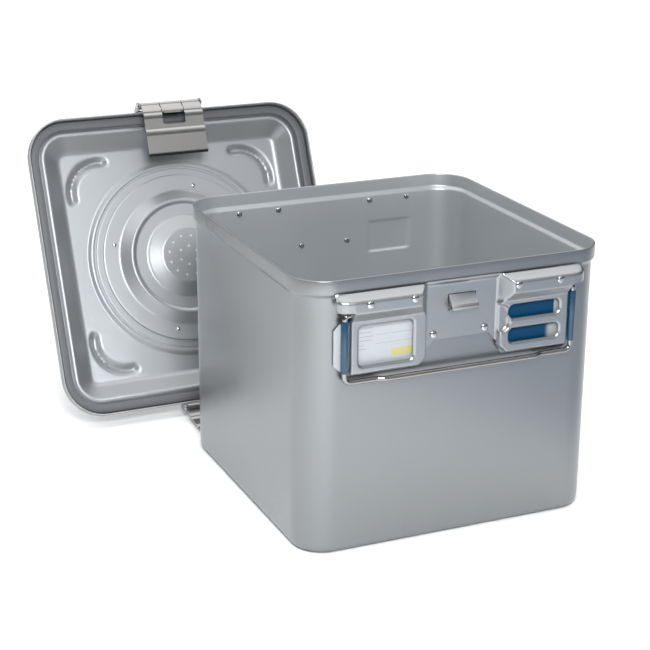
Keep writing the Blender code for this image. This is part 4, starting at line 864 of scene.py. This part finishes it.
def build_rivet(name, place, node, spot):
    x, z, depth = spot
    outside = PLATE_FACE + depth + PLATE_SHEET + mm(0.3)
    inside = WALL_FACE - TUB_WALL - mm(0.5)
    head = [(HEAD_RADIUS * math.sin(turn), outside + HEAD_EDGE + HEAD_RISE * math.cos(turn))
            for turn in (math.radians(angle) for angle in range(0, 91, 10))]
    head += [(HEAD_RADIUS, outside), (SHANK_RADIUS, outside)]
    tail = [(SHANK_RADIUS, inside), (TAIL_RADIUS, inside)]
    tail += [(TAIL_RADIUS * math.cos(turn), inside - mm(0.2) - TAIL_RISE * math.sin(turn))
             for turn in (math.radians(angle) for angle in range(0, 91, 15))]
    tail[-1] = (0, tail[-1][1])
    if depth > 0:
        near, far = PLATE_FACE + depth - mm(0.3), WALL_FACE + mm(0.3)
        tail = [(SHANK_RADIUS, near), (BARREL_OUTER, near), (BARREL_OUTER, far), (SHANK_RADIUS, far)] + tail
    stand = Matrix.Translation((x, 0, z)) @ Matrix.Rotation(math.pi / 2, 4, "X")
    finish_piece(name, turned(head + tail, 32), RIVET_METAL, "tub", place @ stand,
                 replaces=[node])


for side, place in SIDES:
    for number, spot in enumerate(RIVET_SPOTS, 1):
        build_rivet("domed_rivet_" + side + "_" + str(number), place, side + "_rivet_" + str(number), spot)

# %% [markdown]
# The carrying handle is one bent wire, so a curve with a round bevel is the natural tool. Its
# corners are bent to a radius, and the curve is turned into a mesh when its shape is final.

# %% Wire handles
GRIP_RADIUS, WIRE_RADIUS, BAIL_HALF, PIVOT_Z = mm_all(3.3, 2.45, 111.8, 224.7)
BAIL_OUT = PLATE_FACE + SIDE_DEPTH + mm(3.1)
BAR_Z = POCKET_LOW - mm(5.3)


def bend_route(corners, steps=10):
    route = [Vector(corners[0][0])]
    for before, (corner, reach), after in zip(corners, corners[1:], corners[2:]):
        corner = Vector(corner)
        back = (Vector(before[0]) - corner).normalized() * reach
        ahead = (Vector(after[0]) - corner).normalized() * reach
        for step in range(steps + 1):
            share = step / steps
            route.append(corner + back * (1 - share) ** 2 + ahead * share ** 2)
    route.append(Vector(corners[-1][0]))
    return route


def bend_wire(route, radius, sides=9):
    curve = bpy.data.curves.new("work", "CURVE")
    curve.dimensions = "3D"
    curve.bevel_depth = radius
    curve.bevel_resolution = sides
    curve.use_fill_caps = True
    spline = curve.splines.new("POLY")
    spline.points.add(len(route) - 1)
    for point, place in zip(spline.points, route):
        point.co = (*place, 1)
    item = add_object("work", curve)
    wire = bmesh.new()
    wire.from_mesh(item.to_mesh())
    item.to_mesh_clear()
    bpy.data.objects.remove(item, do_unlink=True)
    bpy.data.curves.remove(curve)
    bmesh.ops.remove_doubles(wire, verts=wire.verts, dist=mm(0.005))
    return wire


half = [((mm(102.0), -BAIL_OUT, PIVOT_Z), 0), ((BAIL_HALF, -BAIL_OUT, PIVOT_Z), mm(4.1)),
        ((BAIL_HALF, -BAIL_OUT, BAR_Z), mm(7.0)), ((mm(80.5), -BAIL_OUT, BAR_Z), mm(2.2)),
        ((mm(74.5), -BAIL_OUT - mm(3.0), BAR_Z), mm(2.2))]
other_half = [((-x, y, z), reach) for (x, y, z), reach in reversed(half)]
for side, place in SIDES:
    wire_mesh = bend_wire(bend_route(half + other_half), WIRE_RADIUS)
    finish_piece("wire_" + side, wire_mesh, CHROME, side + "_carrying_handle", place,
                 replaces=[side + "_handle"])

# %% [markdown]
# A blue sleeve sits on each leg of the wire. It is a turned tube with rounded ends, because a bevelled
# curve would leave its ends sharp.

# %% Sleeves
SLEEVE_TOP, SLEEVE_LOW = PIVOT_Z - mm(4.5), BAR_Z + mm(9.2)


def build_sleeve(name, x, place, body, node):
    outer, inner, low, top = GRIP_RADIUS, WIRE_RADIUS + mm(0.15), SLEEVE_LOW, SLEEVE_TOP
    soft, softer = mm(0.4), mm(0.4) * 0.3
    profile = [(inner, low), (outer - soft, low), (outer - softer, low + softer), (outer, low + soft),
               (outer, top - soft), (outer - softer, top - softer), (outer - soft, top), (inner, top),
               (inner, low)]
    stand = Matrix.Translation((x, -BAIL_OUT, 0))
    finish_piece(name, turned(profile, 32), SLEEVE_BLUE, body, place @ stand, replaces=[node])


for side, place in SIDES:
    for label, x in (("left", -BAIL_HALF), ("right", BAIL_HALF)):
        build_sleeve("sleeve_" + side + "_" + label, x, place, side + "_carrying_handle",
                     side + "_grip_" + label)

# %% [markdown]
# ## The latches of the lid
#
# A latch is a sheet with two stiffening ridges, a window that hooks over the catch, and a turned down lip.
# It starts as a flat grid, is trimmed while it is flat, and is then laid along its side view. The tube that
# turns on the pin is added at its root. The faces of the lip get a near-black finish, a painted shade.

# %% Latches
LATCH_HALF, LATCH_LENGTH, LATCH_OFFSET, LATCH_SHEET, RIDGE = mm_all(33.2, 54.3, 8.5, 1.4, 1.6)
BARREL_RADIUS, PIN_RADIUS, LIP, LIP_BEND = mm_all(3.4, 1.6, 3.6, 0.8)
LIP_TURN = 0.75
ROOT = [(0, BARREL_RADIUS), (mm(4.3), mm(6.9)), (mm(8.4), LATCH_OFFSET)]
RIDGES = ((0.24, mm(3.6)), (0.57, mm(4.2)))
LATCH_OPENINGS = (mm_all(-12.8, 12.8, 9.5, 23.2, 3.0), mm_all(-12.8, -11.8, -1, 10.5),
                  mm_all(11.8, 12.8, -1, 10.5))
TUBES = ((-LATCH_HALF, -mm(12.9)), (-mm(11.7), mm(11.7)), (mm(12.9), LATCH_HALF))
PIVOT_UP, PIVOT_IN = LID_HALF + mm(4.2), mm(8.5)
LATCH_ROWS, LATCH_COLUMNS = 76, 88


def latch_place(length):
    past = length - (LATCH_LENGTH - LIP_BEND)
    if past > 0:
        turn = min(past / LIP_BEND, LIP_TURN)
        beyond = past - LIP_BEND * turn
        return (LATCH_OFFSET - LIP_BEND * (1 - math.cos(turn)) - beyond * math.sin(turn),
                LATCH_LENGTH - LIP_BEND * (1 - math.sin(turn)) + beyond * math.cos(turn))
    rise = along(ROOT, length)
    for middle, width in RIDGES:
        away = min(abs(length - LATCH_LENGTH * middle) / width, 1)
        rise += RIDGE * 0.5 * (1 + math.cos(math.pi * away))
    return (rise, length)


def latch_tube(low, high):
    outer, inner, soft = BARREL_RADIUS, PIN_RADIUS + mm(0.3), mm(0.3)
    profile = [(inner, low), (outer - soft, low), (outer, low + soft), (outer, high - soft),
               (outer - soft, high), (inner, high), (inner, low)]
    return bake("work", turned(profile, 32, Matrix.Rotation(math.pi / 2, 4, "Y")))


def build_latch(name, turn, fold, body, node):
    sheet = bmesh.new()
    bmesh.ops.create_grid(sheet, x_segments=LATCH_COLUMNS, y_segments=LATCH_ROWS, size=1)
    total = LATCH_LENGTH + LIP - mm(0.4)
    for vert in sheet.verts:
        vert.co = (vert.co.x * LATCH_HALF, 0, (vert.co.y + 1) / 2 * total)
    for box in LATCH_OPENINGS:
        punch(sheet, box, 2 * LATCH_HALF / LATCH_COLUMNS)
    # Faces past the bend of the lip get the second finish, the painted shade.
    for face in sheet.faces:
        face.material_index = 1 if face.calc_center_median().z > LATCH_LENGTH + mm(0.1) else 0
    for vert in sheet.verts:
        rise, length = latch_place(vert.co.z)
        vert.co.y, vert.co.z = rise, length
    inner_verts = [vert for vert in sheet.verts if not vert.is_boundary]
    bmesh.ops.smooth_vert(sheet, verts=inner_verts, factor=0.5, use_axis_y=True)
    bmesh.ops.recalc_face_normals(sheet, faces=sheet.faces)
    if sum(face.normal.y for face in sheet.faces) < 0:
        bmesh.ops.reverse_faces(sheet, faces=sheet.faces)
    bmesh.ops.solidify(sheet, geom=sheet.faces[:], thickness=LATCH_SHEET)
    for low, high in TUBES:
        mesh = latch_tube(low, high)
        sheet.from_mesh(mesh)
        bpy.data.meshes.remove(mesh)
    swing = Matrix.Translation((0, PIVOT_UP, PIVOT_IN)) @ Matrix.Rotation(fold, 4, "X")
    place = LID_PLACE @ Matrix.Rotation(turn, 4, "Z") @ swing
    latch = finish_piece(name, sheet, LATCH_METAL, body, place, replaces=[node])
    latch.data.materials.append(LATCH_LIP_PAINTED_SHADE)


build_latch("latch_sheet_upper", 0, math.radians(90), "upper_lid_latch", "upper_latch")
build_latch("latch_sheet_lower", math.pi, math.radians(-30), "lower_lid_latch", "lower_latch")

# %% [markdown]
# ## Camera, floor and light
#
# The camera stands where the photographer stood. Its place comes from lines and corners of the tub that can
# be found in the picture. The light is plain, as in a studio, and the floor is white with a painted shade
# beside the tub.

# %% Camera
AIM = Vector(mm_all(-24.024, 87.792, 128.0))
VIEW_TURN, VIEW_RISE, VIEW_ROLL = (math.radians(angle) for angle in (-23.793, 19.177, 0.391))
VIEW_DISTANCE = mm(1712.82)
PICTURE_SIDE, FOCAL_PIXELS, SENSOR = 650, 1707.0, 36
towards_viewer = Vector((math.sin(VIEW_TURN) * math.cos(VIEW_RISE),
                         -math.cos(VIEW_TURN) * math.cos(VIEW_RISE), math.sin(VIEW_RISE)))
right = Vector((math.cos(VIEW_TURN), math.sin(VIEW_TURN), 0))
up = towards_viewer.cross(right)
turned_right = right * math.cos(VIEW_ROLL) + up * math.sin(VIEW_ROLL)
turned_up = up * math.cos(VIEW_ROLL) - right * math.sin(VIEW_ROLL)
lens_data = bpy.data.cameras.new("camera")
lens_data.sensor_width = SENSOR
lens_data.lens = FOCAL_PIXELS / PICTURE_SIDE * SENSOR
camera = add_object("camera", lens_data)
basis = Matrix((turned_right, turned_up, towards_viewer)).transposed().to_4x4()
camera.matrix_world = Matrix.Translation(AIM + towards_viewer * VIEW_DISTANCE) @ basis
bpy.context.scene.camera = camera

# %% [markdown]
# The floor is a white sheet with a painted shade: it turns grey at the right of the tub, so that the front
# and the right corner mirror something darker. Three soft edges bound the painted shade, and their product
# is the mix.

# %% Floor
FLOOR_HALF = 6
# The grey is a painted shade, a darker floor beside the tub for the metal to mirror.
FLOOR_WHITE, FLOOR_PAINTED_SHADE = (0.92, 0.92, 0.92, 1), (0.47, 0.51, 0.57, 1)
floor_data = bmesh.new()
bmesh.ops.create_grid(floor_data, x_segments=1, y_segments=1, size=FLOOR_HALF)
floor = add_object("floor", bake("floor", floor_data))
floor_finish, floor_tree, floor_shader = new_material("floor_white_with_painted_shade")
floor_shader.inputs["Roughness"].default_value = 0.7
floor_place = add_node(floor_tree, "ShaderNodeTexCoord")
beside = add_node(floor_tree, "ShaderNodeVectorMath", operation="DOT_PRODUCT")
beside.inputs[1].default_value = (0.823, -0.568, 0)
floor_axes = add_node(floor_tree, "ShaderNodeSeparateXYZ")
link(floor_tree, (floor_place.outputs["Object"], beside.inputs[0]),
     (floor_place.outputs["Object"], floor_axes.inputs[0]))
painted_shade_edges = []
for distance, start, end in ((beside.outputs["Value"], 0.264, 0.42), (floor_axes.outputs["X"], -0.05, 0.25),
                             (floor_axes.outputs["Y"], 0.1, -0.3)):
    painted_shade_step = add_node(floor_tree, "ShaderNodeMapRange", interpolation_type="SMOOTHSTEP", From_Min=start,
                         From_Max=end)
    link(floor_tree, (distance, painted_shade_step.inputs["Value"]))
    painted_shade_edges.append(painted_shade_step.outputs["Result"])
painted_shade_tone = add_node(floor_tree, "ShaderNodeMix", data_type="RGBA", A=FLOOR_WHITE, B=FLOOR_PAINTED_SHADE)
link(floor_tree, (multiply(floor_tree, painted_shade_edges), painted_shade_tone.inputs["Factor"]),
     (painted_shade_tone.outputs["Result"], floor_shader.inputs["Base Color"]))
floor.data.materials.append(floor_finish)

# %% [markdown]
# Bare metal shows what stands around it, so the surroundings matter as much as the lamps. The sky
# is bright overhead, darkest half way up and dim at the horizon, and its left side is brighter than
# its right. A wide soft light hangs over the table, a smaller one lights the table in front of the
# left corner, and a third brightens the inner side of the lid. The camera sees a pale backdrop.

# %% Light
world = bpy.context.scene.world or bpy.data.worlds.new("world")
bpy.context.scene.world = world
world.use_nodes = True
air = world.node_tree
sky = air.nodes["Background"]
towards = add_node(air, "ShaderNodeTexCoord")
split = add_node(air, "ShaderNodeSeparateXYZ")
height_tone = add_node(air, "ShaderNodeValToRGB")
side_tone = add_node(air, "ShaderNodeMapRange", From_Min=-1.0, To_Min=1.25, To_Max=0.55)
shown = add_node(air, "ShaderNodeMix", data_type="RGBA", blend_type="MULTIPLY", Factor=1.0)
ramp_points = height_tone.color_ramp.elements
ramp_points[0].position, ramp_points[0].color = 0.0, (0.20, 0.205, 0.21, 1)
ramp_points[1].position, ramp_points[1].color = 1.0, (0.9, 0.9, 0.9, 1)
for position, level in ((0.12, 0.11), (0.5, 0.07), (0.75, 0.35)):
    ramp_points.new(position).color = (level, level * 1.01, level * 1.04, 1)
ray = add_node(air, "ShaderNodeLightPath")
backdrop = add_node(air, "ShaderNodeMix", data_type="RGBA", B=(0.9, 0.905, 0.91, 1))
link(air, (towards.outputs["Generated"], split.inputs[0]), (split.outputs["Z"], height_tone.inputs["Fac"]),
     (split.outputs["X"], side_tone.inputs["Value"]), (height_tone.outputs["Color"], shown.inputs["A"]),
     (side_tone.outputs["Result"], shown.inputs["B"]),
     (ray.outputs["Is Camera Ray"], backdrop.inputs["Factor"]),
     (shown.outputs["Result"], backdrop.inputs["A"]), (backdrop.outputs["Result"], sky.inputs["Color"]))
sky.inputs["Strength"].default_value = 1.0


def add_light(name, place, aim, size, power, colour=(1, 1, 1)):
    data = bpy.data.lights.new(name, "AREA")
    data.shape = "RECTANGLE"
    data.size, data.size_y = size
    data.energy = power
    data.color = colour
    lamp = add_object(name, data)
    lamp.location = place
    lamp.rotation_mode = "QUATERNION"
    lamp.rotation_quaternion = (Vector(place) - Vector(aim)).to_track_quat("Z", "Y")


add_light("overhead", (0, 3.0, 2.8), (0, 3.0, 0), (8.0, 7.4), 270)
add_light("key", (-0.45, -1.1, 1.0), (-0.02, -0.45, 0), (0.5, 0.5), 23, (0.96, 0.98, 1.0))
add_light("lid_softbox", (0.95, -1.9, 1.35), (-0.1, 0.25, 0.16), (2.4, 1.7), 6)
bpy.context.scene.view_settings.view_transform = "Standard"

# %% [markdown]
# Brackets, pins, studs, cards and tags are exact already, so they stay as the model has them and only
# get their finishes here.

# %% Finishes of the kept nodes
KEPT = {}
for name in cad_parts:
    if "bracket" in name:
        KEPT[name] = LATCH_METAL
    if "pin" in name or "stud" in name or "bracket_rivet" in name:
        KEPT[name] = RIVET_METAL
for side in ("front", "back"):
    KEPT[side + "_label_card"] = CARD_PRINTED
    KEPT[side + "_tag_plate"] = TAG_BLUE
for name, material in KEPT.items():
    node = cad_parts[name]
    node.data.materials.clear()
    node.data.materials.append(material)
print(len(made), "pieces made,", len(KEPT), "nodes kept")
